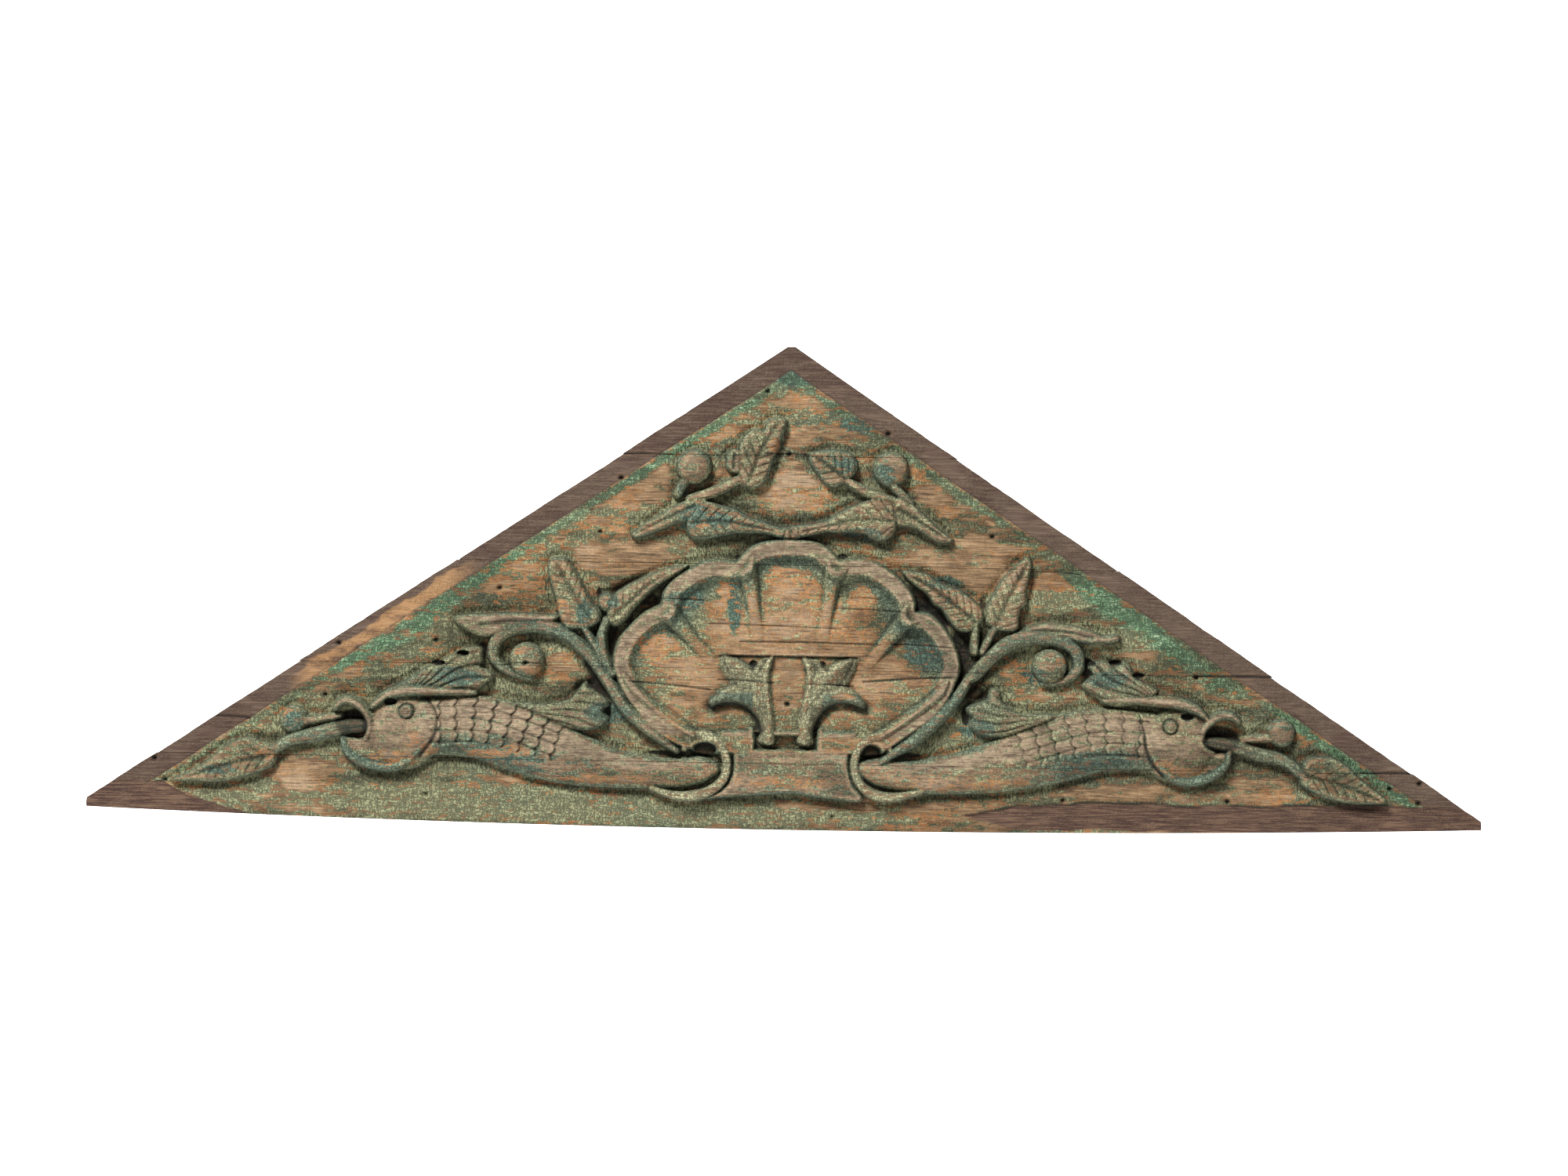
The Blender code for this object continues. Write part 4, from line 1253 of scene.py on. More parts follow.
END_SPRAYS = (
    stem(
        ((-527, 124), (-565, 121), (-600, 112), (-632, 104), (-658, 86)), (7, 9, 9, 7, 6),
        (13, 17, 18, 17, 16), STEM_DRESS,
    ),
    leaf((
        (-648, 94), (-662, 100), (-685, 107), (-706, 100), (-722, 88), (-739, 74), (-762, 60),
        (-782, 51), (-753, 51), (-726, 50), (-698, 54), (-680, 60), (-661, 67), (-651, 75),
    ), 18.0, CORNER_DRESS, ((-656, 84), (-700, 75), (-770, 53)), 14.0),
    stem(((-612, 129), (-590, 133), (-568, 136)), (6, 5, 4), (13, 11, 8), OLIVE_DRESS),
    berry((-627, 131), 18.0, 18.0),
    berry((-697, 92), 11.0, 19.5, LEAF_DRESS),
    stem(
        ((536, 122), (572, 117), (602, 108), (636, 100), (664, 80)), (7, 8, 8, 7, 6),
        (13, 17, 18, 17, 16), STEM_DRESS,
    ),
    leaf((
        (660, 92), (669, 103), (693, 106), (715, 96), (732, 80), (750, 66), (768, 50), (740, 47),
        (721, 48), (694, 53), (673, 62), (659, 71),
    ), 18.0, CORNER_DRESS, ((664, 82), (705, 72), (758, 52)), 14.0),
    stem(((618, 129), (600, 127), (584, 125)), (6, 5, 4), (13, 11, 8), OLIVE_DRESS),
    berry((633, 135), 18.0, 18.0),
    berry((686, 86), 11.0, 19.5, LEAF_DRESS),
)


@dataclass(frozen=True)
class Age:
    """What weather, wear and old fixings left on the panel, with painted shade in its hollows and painted
    highlights on its proud edges.

    Attributes:
        nails: Middles of the empty nail holes.
        checks: Long cracks along the grain: left end, right end, half width.
        bare: Where the ground is bare wood: middle and reach.
        orange: Where orange undercoat shows: middle and reach.
        dark: Recesses painted near black as shade: middle and reach.
        clean: Where weather washed the surface light: middle and reach.
        sage: Where the ground kept most of its sage paint: middle and reach.
        blue: Where blue-green paint is left: middle and reach.
        spots: Where the undercoat shows as a bright spot: middle and reach.
        deep: Where the ground is cut deeper round the shell: middle and reach.
        joints: Heights of the glued joints.
        nail_radius: Radius of a nail hole.
        nail_depth: Depth of a nail hole.
        check_depth: Depth of a long crack.
        margin: Width of the bare margin along the sloping edges.
        scoop: How far the ground is scooped beside the forms.
        deeper: How much more where it is cut deeper.
        gouge: Distance between the gouge's cuts.
    """

    nails: Route = (
        (-805, 78), (-791, 51), (-588, 163), (-572, 229), (-448, 235), (-458, 38), (-368, 303),
        (-241, 377), (-30, 560), (-1, 480), (2, 161), (62, 18), (260, 379), (125, 508), (356, 44),
        (524, 203), (566, 46), (773, 66), (810, 48), (811, 73), (-215, 446), (-332, 208),
    )
    checks: tuple[tuple[Point, Point, float], ...] = (
        ((-160, 293), (-100, 291), 0.8), ((-200, 187), (-96, 178), 1.1), ((98, 191), (216, 199), 1.3),
        ((-100, 262), (70, 258), 0.7), ((-60, 240), (120, 239), 0.8), ((60, 284), (150, 281), 0.8),
        ((134, 240), (216, 236), 0.9), ((520, 205), (624, 206), 1.4), ((-733, 134), (-682, 131), 1.2),
        ((738, 85), (802, 86), 1.2), ((318, 335), (374, 333), 0.9), ((-352, 207), (-312, 208), 1.0),
        ((-30, 480), (26, 479), 1.2), ((-218, 477), (-150, 477), 0.7), ((28, 300), (120, 297), 0.6),
        ((-86, 191), (-16, 188), 0.9), ((28, 187), (86, 185), 0.8),
    )
    bare: Patches = (
        ((-215, 345), (80, 30)), ((232, 345), (88, 36)), ((8, 432), (58, 34)), ((38, 506), (60, 16)),
        ((190, 432), (50, 34)), ((-175, 440), (38, 26)), ((-330, 305), (70, 22)), ((365, 318), (62, 22)),
        ((-285, 207), (26, 18)), ((288, 212), (26, 20)), ((-612, 52), (30, 15)), ((450, 54), (120, 10)),
        ((150, 26), (130, 14)), ((-300, 60), (60, 10)), ((-430, 48), (60, 8)), ((600, 62), (60, 16)),
        ((300, 400), (40, 20)), ((480, 245), (30, 16)), ((-560, 195), (26, 8)), ((30, 28), (50, 8)),
        ((470, 262), (60, 12)), ((560, 190), (40, 20)), ((420, 235), (40, 16)), ((-90, 505), (30, 12)),
    )
    orange: Patches = (
        ((10, 562), (16, 16)), ((-345, 310), (50, 20)), ((-655, 145), (40, 10)), ((-690, 120), (28, 10)),
        ((340, 320), (50, 22)), ((298, 212), (18, 18)), ((640, 165), (30, 12)), ((690, 128), (44, 10)),
        ((-210, 425), (30, 26)), ((170, 452), (30, 20)), ((-150, 380), (22, 8)), ((570, 190), (34, 10)),
        ((0, 320), (30, 22)), ((-78, 290), (16, 26)), ((95, 295), (18, 26)), ((-165, 235), (30, 22)),
        ((60, 290), (10, 26)), ((-42, 290), (10, 20)), ((75, 255), (40, 20)), ((-290, 190), (24, 10)),
        ((-500, 84), (30, 9)), ((-470, 108), (14, 10)), ((505, 85), (34, 9)), ((0, 62), (80, 7)),
        ((-230, 62), (60, 5)), ((220, 60), (60, 5)), ((75, 172), (22, 5)), ((-480, 258), (40, 10)),
    )
    dark: Patches = (
        ((-240, 180), (15, 12)), ((-229, 220), (10, 38)), ((-224, 262), (8, 28)), ((-240, 298), (3, 7)),
        ((240, 180), (14, 9)), ((223, 196), (8, 14)), ((224, 238), (11, 28)), ((250, 290), (4, 12)),
        ((246, 250), (4, 8)), ((175, 292), (16, 10)), ((192, 272), (17, 11)), ((-388, 222), (5, 12)),
        ((384, 214), (7, 12)), ((-178, 292), (14, 7)), ((-204, 268), (8, 7)), ((-228, 148), (4, 12)),
        ((230, 150), (5, 12)), ((-100, 105), (18, 6)), ((112, 106), (16, 6)), ((-150, 96), (24, 3)),
        ((150, 98), (24, 3)), ((-62, 346), (5, 4)), ((70, 349), (6, 4)), ((-155, 320), (12, 5)),
    )
    clean: Patches = (
        ((2, 285), (110, 52)), ((-150, 215), (44, 40)), ((-160, 150), (40, 20)), ((0, 430), (60, 30)),
        ((-270, 300), (22, 32)), ((-330, 212), (16, 16)), ((95, 397), (44, 14)), ((-180, 308), (30, 16)),
        ((282, 305), (16, 34)), ((-245, 146), (24, 14)), ((246, 146), (24, 14)), ((-400, 130), (70, 22)),
        ((400, 128), (70, 22)),
    )
    sage: Patches = (
        ((-160, 18), (380, 15)), ((-420, 34), (200, 20)), ((330, 300), (90, 16)), ((430, 250), (60, 18)),
    )
    blue: Patches = (
        ((-122, 398), (20, 18)), ((-136, 433), (8, 12)), ((-90, 393), (20, 10)), ((72, 466), (16, 13)),
        ((122, 456), (18, 15)), ((96, 379), (30, 8)), ((-258, 276), (10, 16)), ((-221, 287), (10, 10)),
        ((174, 228), (28, 18)), ((-67, 287), (9, 38)), ((-132, 293), (28, 13)), ((317, 202), (16, 13)),
        ((-226, 146), (36, 15)), ((246, 133), (24, 12)), ((89, 518), (26, 12)), ((-416, 190), (34, 12)),
        ((410, 200), (26, 12)), ((-720, 66), (20, 8)), ((-627, 131), (12, 12)), ((200, 318), (24, 10)),
    )
    spots: Patches = (
        ((136, 452), (8, 6)), ((34, 297), (12, 26)), ((96, 300), (12, 20)), ((-289, 283), (9, 8)),
        ((-312, 197), (20, 9)), ((-340, 222), (8, 5)), ((-662, 86), (16, 7)), ((-452, 96), (12, 9)),
        ((-384, 92), (26, 6)), ((-108, 386), (12, 4)), ((482, 92), (18, 8)), ((-345, 96), (30, 7)),
        ((-255, 62), (40, 6)), ((280, 66), (40, 6)), ((350, 222), (8, 6)), ((-20, 488), (8, 12)),
    )
    deep: Patches = (
        ((-232, 215), (26, 60)), ((232, 210), (26, 60)), ((185, 290), (44, 30)), ((-185, 298), (44, 26)),
        ((-245, 180), (26, 18)), ((245, 178), (26, 18)), ((-100, 105), (26, 14)), ((112, 106), (26, 14)),
    )

    joints: tuple[float, ...] = (85.0, 205.0, 338.0, 477.0)
    nail_radius: float = 2.7
    nail_depth: float = 7.0
    check_depth: float = 2.4
    margin: float = 27.0
    scoop: float = 4.0
    deeper: float = 7.0
    gouge: float = 5.2

    def ground(self, face: Carving) -> None:
        """Scoops the ground round the forms and gives it its hand-cut surface.

        Args:
            face: The face.
        """
        x, z = face.x, face.z
        solid = (face.forms > 0).astype(float)
        near = np.clip(2.0 * blurred(solid, 8), 0.0, 1.0) * (1.0 - solid)
        wide = np.clip(2.2 * blurred(solid, 12), 0.0, 1.0) * (1.0 - solid)
        deep = np.zeros_like(x)
        for place, reach in self.deep:
            deep = np.maximum(deep, eased((1.2 - face.oval(WHOLE, place, reach)) / 0.5))
        face.ground -= (self.scoop + self.deeper * deep) * eased(near * 1.4)
        wobble = noise(x, z, 90.0, 40.0, 3) * 9.0
        hatch = np.sin((x + wobble) * 2 * math.pi / self.gouge) * eased(wide * 1.5)
        hatch = hatch * noise(x, z, 30.0, 30.0, 4) * 1.6
        face.ground += 0.3 * hatch + 0.8 * (noise(x, z, 70.0, 24.0, 8) - 0.5)
        layers = face.layers
        patchy = noise(x, z, 120.0, 34.0, 21)
        open_ground = (face.forms < face.ground)
        layers[Layer.COVER] = np.where(open_ground, 0.34 + 0.5 * patchy, layers[Layer.COVER])
        tone = 0.12 + 0.35 * noise(x, z, 160.0, 60.0, 33)
        layers[Layer.TONE] = np.where(open_ground, tone, layers[Layer.TONE])
        warm = 1.3 * eased((noise(x, z, 90.0, 24.0, 35) - 0.42) / 0.3)
        layers[Layer.WARM] = np.where(open_ground, 0.15 + 0.6 * warm, layers[Layer.WARM])
        for place, reach in self.bare:
            face.tint(Layer.COVER, place, reach, 0.18)
        for place, reach in self.orange:
            face.tint(Layer.WARM, place, reach, 1.0, grounded=False)
            face.tint(Layer.COVER, place, reach, 0.3, grounded=False)
        hatched = wide * open_ground
        close = 0.75 * eased(hatched * 1.3)
        layers[Layer.COVER] += (np.maximum(layers[Layer.COVER], 0.66) - layers[Layer.COVER]) * close
        layers[Layer.TONE] += (0.28 - layers[Layer.TONE]) * close
        layers[Layer.SCOOP] = np.clip(wide * 1.6, 0.0, 1.0)
        # The gouged ground near the forms and the deeper cuts round the shell are darkened with painted
        # shade.
        face.add_dirt_and_shade(WHOLE, 0.12 * eased(hatched) + 0.42 * deep * eased(near * 1.4))
        # Painted shade in the troughs of the gouge cuts.
        gouge = np.clip(-hatch, 0.0, 1.0) * noise(x, z, 12.0, 12.0, 9)
        face.add_dirt_and_shade(WHOLE, 0.4 * gouge * eased(wide * 2.0 - 0.3))

    def margins(self, face: Carving) -> None:
        """Marks the bare margin along the sloping edges, the streak beside it and the torn foot.

        Args:
            face: The face.
        """
        x, z = face.x, face.z
        layers = face.layers
        steep = math.hypot(PANEL.rise, PANEL.half)
        inward = (PANEL.half * (PANEL.tip + PANEL.rise - z) - PANEL.rise * np.abs(x)) / steep
        margin = self.margin + 3.0 * (noise(x, z, 70.0, 70.0, 41) - 0.5)
        open_ground = face.forms < face.ground
        rim = eased((margin - inward) / 1.6) * open_ground
        layers[Layer.RIM] = rim
        face.ground -= 0.7 * rim
        patchy = noise(x, z, 120.0, 60.0, 43)
        reach = np.interp(x, (-560, -480, -360, 300, 400, 540, 620), (9.0, 17.0, 9.0, 9.0, 20.0, 20.0, 9.0))
        band = bell(inward - margin - 0.7 * reach, reach) * (inward > margin) * open_ground
        strong = np.interp(
            x, (-640, -560, -420, -300, -120, 60, 120, 330, 400, 540, 600, 640, 780),
            (0.35, 1, 1, 0.5, 0.6, 0.5, 0.4, 0.45, 0.9, 0.9, 0.3, 0.8, 0.8),
        )
        layers[Layer.STREAK] = np.clip(band * strong * (0.35 + 1.0 * patchy), 0.0, 1.0)
        layers[Layer.COVER] = np.maximum(layers[Layer.COVER], 0.85 * band * eased((patchy - 0.22) / 0.16))
        face.tint(Layer.COVER, (1.0, 577.0), (34.0, 16.0), 0.85)
        face.tint(Layer.TONE, (1.0, 580.0), (34.0, 13.0), 0.75)
        tan_left = (x < 0) * eased((x + 640.0) / 40.0) * eased((-385.0 - x) / 60.0)
        share = inward / margin + 0.5 * (noise(x, z, 30.0, 14.0, 44) - 0.5)
        tan_left = tan_left * eased((share - 0.25) / 0.12) * eased((1.0 - share) / 0.1)
        layers[Layer.PALE] = np.where(rim > 0.5, tan_left, layers[Layer.PALE])
        # A painted shadow line, with some soiling, at the step where the sunken margin meets the painted
        # field.
        groove = bell(inward - margin + 1.5, 1.5) * open_ground
        face.add_dirt_and_shade(WHOLE, 0.45 * groove)
        edge = 36.0 + 8.0 * np.interp(x, (221, 300, 420, 520, 700, 790), (-2.0, 0.2, 0.8, 0.5, 1.0, 0.9))
        ragged = 7.0 * (noise(x, z * 0.2, 36.0, 30.0, 51) - 0.5)
        low = np.interp(x, (215, 300, 880), (22.0, 5.0, 4.0)) + ragged
        torn = eased((edge + ragged - z) / 2.0) * eased((x - 215.0) / 12.0) * eased((z - low) / 3.0)
        left_edge = np.interp(x, (-892, -795, -760, -700, -640), (52.0, 50.0, 32.0, 16.0, 2.0)) + ragged
        left = eased((left_edge - z) / 3.0) * (x < -640)
        layers[Layer.TORN] = np.clip(torn + left, 0.0, 1.0) * open_ground
        face.ground -= (2.4 * torn + 1.0 * left) * open_ground
        grain = noise(x, z, 80.0, 2.6, 57)
        face.ground += 1.6 * (grain - 0.5) * np.maximum(torn, left)
        # A dark line, with painted shade, along the step at the top of the torn strip.
        lip = bell(edge + ragged - z, 1.6) * eased((x - 225.0) / 12.0) * (x < 780)
        face.add_dirt_and_shade(WHOLE, 0.8 * lip * open_ground)

    def holes(self, face: Carving) -> None:
        """Opens the recesses, painted near black as shade, and the cracks and the nail holes.

        Args:
            face: The face.
        """
        open_ground = face.forms < face.ground
        for place, reach in self.dark:
            # Each recess is sunk a little and painted near black as shade.
            share = eased((1.3 - face.oval(WHOLE, place, reach)) / 0.5) * open_ground
            face.ground -= 2.0 * share
            face.add_dirt_and_shade(WHOLE, 0.97 * share)
        face.height = np.maximum(face.ground, face.forms)
        for left, right, width in self.checks:
            middle = ((left[0] + right[0]) / 2, (left[1] + right[1]) / 2 + 0.9)
            # Cracks are darkened with soiling and painted shade.
            face.score((left, middle, right), width, self.check_depth, 0.95)
        for joint in self.joints:
            patchy = noise(face.x, face.z * 0.02, 110.0, 60.0, int(joint))
            face.add_dirt_and_shade(WHOLE, 0.28 * eased((patchy - 0.38) / 0.25) * bell(face.z - joint, 1.0))
        for place in self.nails:
            beside = (place[0] + 0.8, place[1])
            # Nail holes are painted black inside as shade.
            face.score((place, beside), self.nail_radius, self.nail_depth, 1.0)

    def grime_and_painted_light(self, face: Carving) -> None:
        """Leaves soiling and painted shade in the hollows, rubs the edges bare and gives them a painted
        highlight.

        Args:
            face: The face.
        """
        layers = face.layers
        fine = blurred(face.height, 3) - face.height
        coarse = blurred(face.height, 9) - face.height
        hollow = np.clip(fine / 3.0, 0.0, 1.0) * 0.45 + np.clip(coarse / 10.0, 0.0, 1.0) * 0.35
        proud = np.clip(-fine / 2.0, 0.0, 1.0)
        form = (face.forms > face.ground).astype(float)
        rows, columns = np.gradient(blurred(face.height, 1))
        steep = eased((np.hypot(rows, columns) - 0.7) / 1.2) * form
        around = np.clip(2.0 * blurred(form, 24), 0.0, 1.0) * (1.0 - form)
        smudges_and_shade_round_forms = around * eased((noise(face.x, face.z, 90.0, 60.0, 79) - 0.4) / 0.3)
        # Darkening in hollows, on steep walls and in patches round the forms: painted shade, besides
        # soiling.
        dirt = layers[Layer.DIRT] + 0.28 * hollow + 0.1 * steep + 0.12 * smudges_and_shade_round_forms
        layers[Layer.DIRT] = np.clip(dirt, 0.0, 1.0)
        cover = layers[Layer.COVER] + form * (0.5 * hollow - 0.3 * proud * (1.0 - layers[Layer.TONE]))
        layers[Layer.COVER] = cover + (np.maximum(cover, 0.8) - cover) * steep
        rubbed = np.clip(layers[Layer.WORN] + form * 0.35 * proud, 0.0, 1.0)
        layers[Layer.WORN] = rubbed * (1.0 - 0.7 * steep)
        layers[Layer.TONE] += (np.maximum(layers[Layer.TONE], 0.55) - layers[Layer.TONE]) * steep
        x, z = face.x, face.z
        flakes = 0.55 * noise(x, z, 60.0, 16.0, 71) + 0.45 * noise(x, z, 18.0, 4.5, 72)
        spread = np.where(form > 0.5, 0.9, 1.5)
        layers[Layer.COVER] = np.clip(layers[Layer.COVER] + (flakes - 0.5) * spread, 0.0, 1.0)
        broad, small = noise(x, z, 130.0, 44.0, 73), noise(x, z, 28.0, 9.0, 74)
        layers[Layer.SHADE] = 0.6 * broad + 0.4 * small
        for place, reach in self.clean:
            face.tint(Layer.SHADE, place, reach, 0.72, grounded=False)
        for place, reach in self.sage:
            face.tint(Layer.SHADE, place, reach, 0.78)
            face.tint(Layer.COVER, place, reach, 0.72)
            face.tint(Layer.DIRT, place, reach, 0.05)
        for place, reach in self.blue:
            face.tint(Layer.TONE, place, reach, 0.88, grounded=False)
            face.tint(Layer.COVER, place, reach, 0.7, grounded=False)
        for place, reach in self.spots:
            face.tint(Layer.WARM, place, reach, 1.0, grounded=False)
            face.tint(Layer.COVER, place, reach, 0.36, grounded=False)
        mottled = layers[Layer.TONE] + 0.5 * (noise(x, z, 60.0, 40.0, 75) - 0.5)
        layers[Layer.TONE] = np.clip(mottled, 0.0, 1.0)
        # Proud edges keep less darkening and get a higher shade value and paler paint, which are rubbed
        # edges with a painted highlight; hollows on the forms get painted shade.
        layers[Layer.DIRT] *= 1.0 - 0.3 * proud
        lit = layers[Layer.SHADE] + form * (0.3 * proud - 0.12 * hollow)
        layers[Layer.SHADE] = np.clip(lit, 0.0, 1.0)
        layers[Layer.PALE] = np.clip(layers[Layer.PALE] + 0.25 * proud, 0.0, 1.0)
        face.height = np.clip(face.height, face.LOWEST, PANEL.highest)


def added(name: str, data: bpy.types.ID) -> bpy.types.Object:
    """Adds an object to the scene.

    Args:
        name: Its name.
        data: Its mesh, light or camera.

    Returns:
        The object.
    """
    thing = bpy.data.objects.new(name, data)
    bpy.context.scene.collection.objects.link(thing)
    return thing


def sampled(values: np.ndarray, x: np.ndarray, z: np.ndarray) -> np.ndarray:
    """Reads a map between its samples.

    Args:
        values: The map.
        x: Places across the drawing.
        z: Places up the drawing.

    Returns:
        The values there.
    """
    across = np.clip(x - Carving.LOW[0], 0.0, Carving.SIZE[0] - 1.001)
    up = np.clip(z - Carving.LOW[1], 0.0, Carving.SIZE[1] - 1.001)
    i, j = across.astype(int), up.astype(int)
    u, v = across - i, up - j
    low = values[j, i] * (1 - u) + values[j, i + 1] * u
    high = values[j + 1, i] * (1 - u) + values[j + 1, i + 1] * u
    return low * (1 - v) + high * v


@dataclass(frozen=True)
class Board:
    """One board of the panel.

    Attributes:
        node: The CAD node that it stands for.
        columns: Samples across.
        rows: Samples up.
        proud: How far its sloping ends stand out from the line of the panel.
        back_shade: How light its sawn back is, 0 to 1.
        joint_reach: How far the back edge of a joint reaches past the front one.
    """

    node: str
    columns: int
    rows: int
    proud: float
    back_shade: float
    joint_reach: float = 0.145

    def grid(self) -> tuple[np.ndarray, np.ndarray]:
        """Lays out the samples of its face.

        Returns:
            Places across and up the drawing, as rows from the lower edge to the upper.
        """
        low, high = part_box(self.node)
        bottom = low.z / MM + PANEL.origin
        top = high.z / MM + PANEL.origin
        up = np.linspace(0.0, 1.0, self.rows)[:, None] * np.ones((1, self.columns))
        across = np.linspace(-1.0, 1.0, self.columns)[None, :] * np.ones((self.rows, 1))
        z = bottom + (top - bottom) * up
        for _ in range(3):
            half = PANEL.rake_x(z - self.proud)
            half = np.minimum(half, PANEL.half)
            x = across * half
            floor = np.maximum(PANEL.foot_z(x), bottom)
            z = floor + (top - floor) * up
        x = self.ragged(x, z, across)
        return x, z

    def ragged(self, x: np.ndarray, z: np.ndarray, across: np.ndarray) -> np.ndarray:
        """Wears the sloping ends unevenly, inwards only.

        Args:
            x: Places across.
            z: Places up.
            across: Places from -1 at the left end to 1 at the right.

        Returns:
            The new places across.
        """
        bite = 2.6 * noise(np.sign(across) * 100.0, z, 1.0, 22.0, 61) ** 2
        bite += 1.1 * noise(np.sign(across) * 100.0, z, 1.0, 5.0, 62) ** 2
        close = eased((np.abs(across) - 0.985) / 0.015)
        return x - np.sign(across) * bite * close

    def joint_sides(self, z: np.ndarray) -> np.ndarray:
        """Tells which samples lie on a glued edge.

        Args:
            z: Places up.

        Returns:
            For each sample, 1 on the upper joint, -1 on the lower one, and 0 elsewhere.
        """
        sides = np.zeros_like(z)
        if z.max() < PANEL.tip + PANEL.rise - 5.0:
            sides[-1, :] = 1.0
        if z.min() > PANEL.tip:
            sides[0, :] = -1.0
        return sides.ravel()

    def build(self, face: Carving, material: bpy.types.Material) -> bpy.types.Object:
        """Makes its mesh.

        Args:
            face: The face of the panel.
            material: Its finish.

        Returns:
            The board.
        """
        x, z = self.grid()
        rise = sampled(face.height, x, z)
        shape = x.shape
        place = np.stack([x * MM, -(PANEL.thickness + rise) * MM, (z - PANEL.origin) * MM], axis=-1)
        front = np.arange(x.size).reshape(shape)
        corners = [front[:-1, :-1], front[:-1, 1:], front[1:, 1:], front[1:, :-1]]
        quads = np.stack(corners, axis=-1).reshape(-1, 4)
        ring = np.concatenate([front[0, :], front[1:, -1], front[-1, -2::-1], front[-2:0:-1, 0]])
        back = place.reshape(-1, 3)[ring].copy()
        back[:, 1] = 0.0
        near_joint = self.joint_reach * MM * self.joint_sides(z)[ring]
        back[:, 2] += near_joint
        points = np.vstack([place.reshape(-1, 3), back])
        behind = x.size + np.arange(len(ring))
        following = np.roll(np.arange(len(ring)), -1)
        sides = np.stack([ring[following], ring, behind, behind[following]], axis=-1)
        faces = [tuple(int(k) for k in quad) for quad in np.vstack([quads, sides])]
        columns = self.columns
        rear = columns + self.rows - 2
        lower = behind[:columns]
        upper = behind[rear:rear + columns][::-1]
        for k in range(columns - 1):
            faces.append((int(lower[k + 1]), int(lower[k]), int(upper[k]), int(upper[k + 1])))
        right_end = behind[columns - 1:rear + 1]
        left_end = np.concatenate([behind[rear + columns - 1:], behind[:1]])
        faces.append(tuple(int(k) for k in right_end[::-1]))
        faces.append(tuple(int(k) for k in left_end[::-1]))
        mesh = bpy.data.meshes.new(self.node + "_carved")
        mesh.from_pydata(points.tolist(), [], faces)
        smooth = np.zeros(len(mesh.polygons), bool)
        smooth[:len(quads)] = True
        mesh.polygons.foreach_set("use_smooth", smooth)
        for layer in Layer:
            values = sampled(face.layers[layer], x, z).ravel()
            hidden = {Layer.RAW: 1.0, Layer.SHADE: self.back_shade}.get(layer, 0.0)
            values = np.concatenate([values, np.full(len(ring), hidden)])
            attribute = mesh.attributes.new(layer.value, "FLOAT", "POINT")
            attribute.data.foreach_set("value", values.astype(np.float32))
        mesh.update()
        mesh.materials.append(material)
        board = added(self.node + "_carved", mesh)
        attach(board, "root")
        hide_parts(self.node)
        LOG.info("%s: %d points, %d faces", self.node, len(points), len(faces))
        return board


BOARDS = (
    Board("bottom_board", 1330, 66, 1.2, 0.44), Board("second_board", 1040, 90, 0.0, 0.62),
    Board("third_board", 860, 108, 2.0, 0.5), Board("fourth_board", 640, 128, 0.6, 0.7),
    Board("peak_board", 300, 118, 2.2, 0.4),
)


def linear(colour: str) -> tuple[float, float, float, float]:
    """Turns an sRGB colour into the linear one that shaders take.

    Args:
        colour: Six hex digits after a hash.

    Returns:
        Red, green, blue and alpha.
    """
    parts = [int(colour[k:k + 2], 16) / 255.0 for k in (1, 3, 5)]
    turned = [c / 12.92 if c <= 0.04045 else ((c + 0.055) / 1.055) ** 2.4 for c in parts]
    return turned[0], turned[1], turned[2], 1.0


Wear = dict[Layer, Socket]


class Step(Enum):
    """Kinds of shader node: type, settings, input sockets in order, and output socket."""

    LAYER = ("ShaderNodeAttribute", {}, (), "Fac")
    PLACES = ("ShaderNodeTexCoord", {}, (), "Object")
    DEPTH = ("ShaderNodeSeparateXYZ", {}, (0,), "Y")
    SCALED = ("ShaderNodeMapping", {}, ("Vector", "Scale"), "Vector")
    NOISE = ("ShaderNodeTexNoise", {}, ("Vector", "Scale", "Detail", "Roughness"), "Fac")
    RANGE = (
        "ShaderNodeMapRange", {"interpolation_type": "SMOOTHSTEP"},
        ("Value", "From Min", "From Max", "To Min", "To Max"), "Result",
    )
    SUM = ("ShaderNodeMath", {"operation": "ADD"}, (0, 1), 0)
    DIFFERENCE = ("ShaderNodeMath", {"operation": "SUBTRACT"}, (0, 1), 0)
    PRODUCT = ("ShaderNodeMath", {"operation": "MULTIPLY"}, (0, 1), 0)
    LESSER = ("ShaderNodeMath", {"operation": "MINIMUM"}, (0, 1), 0)
    UNSIGNED = ("ShaderNodeMath", {"operation": "ABSOLUTE"}, (0,), 0)
    COLOUR = ("ShaderNodeMix", {"data_type": "RGBA"}, (0, 6, 7), 2)
    SHADED = ("ShaderNodeMix", {"data_type": "RGBA", "blend_type": "MULTIPLY"}, (0, 6, 7), 2)
    VALUE = ("ShaderNodeMix", {"data_type": "FLOAT"}, (0, 2, 3), 0)
    BUMP = ("ShaderNodeBump", {}, ("Height", "Strength", "Distance"), "Normal")
    BEHIND = ("ShaderNodeNewGeometry", {}, (), "Backfacing")
    CLEAR = ("ShaderNodeBsdfTransparent", {}, (), 0)
    EITHER = ("ShaderNodeMixShader", {}, (0, 1, 2), 0)


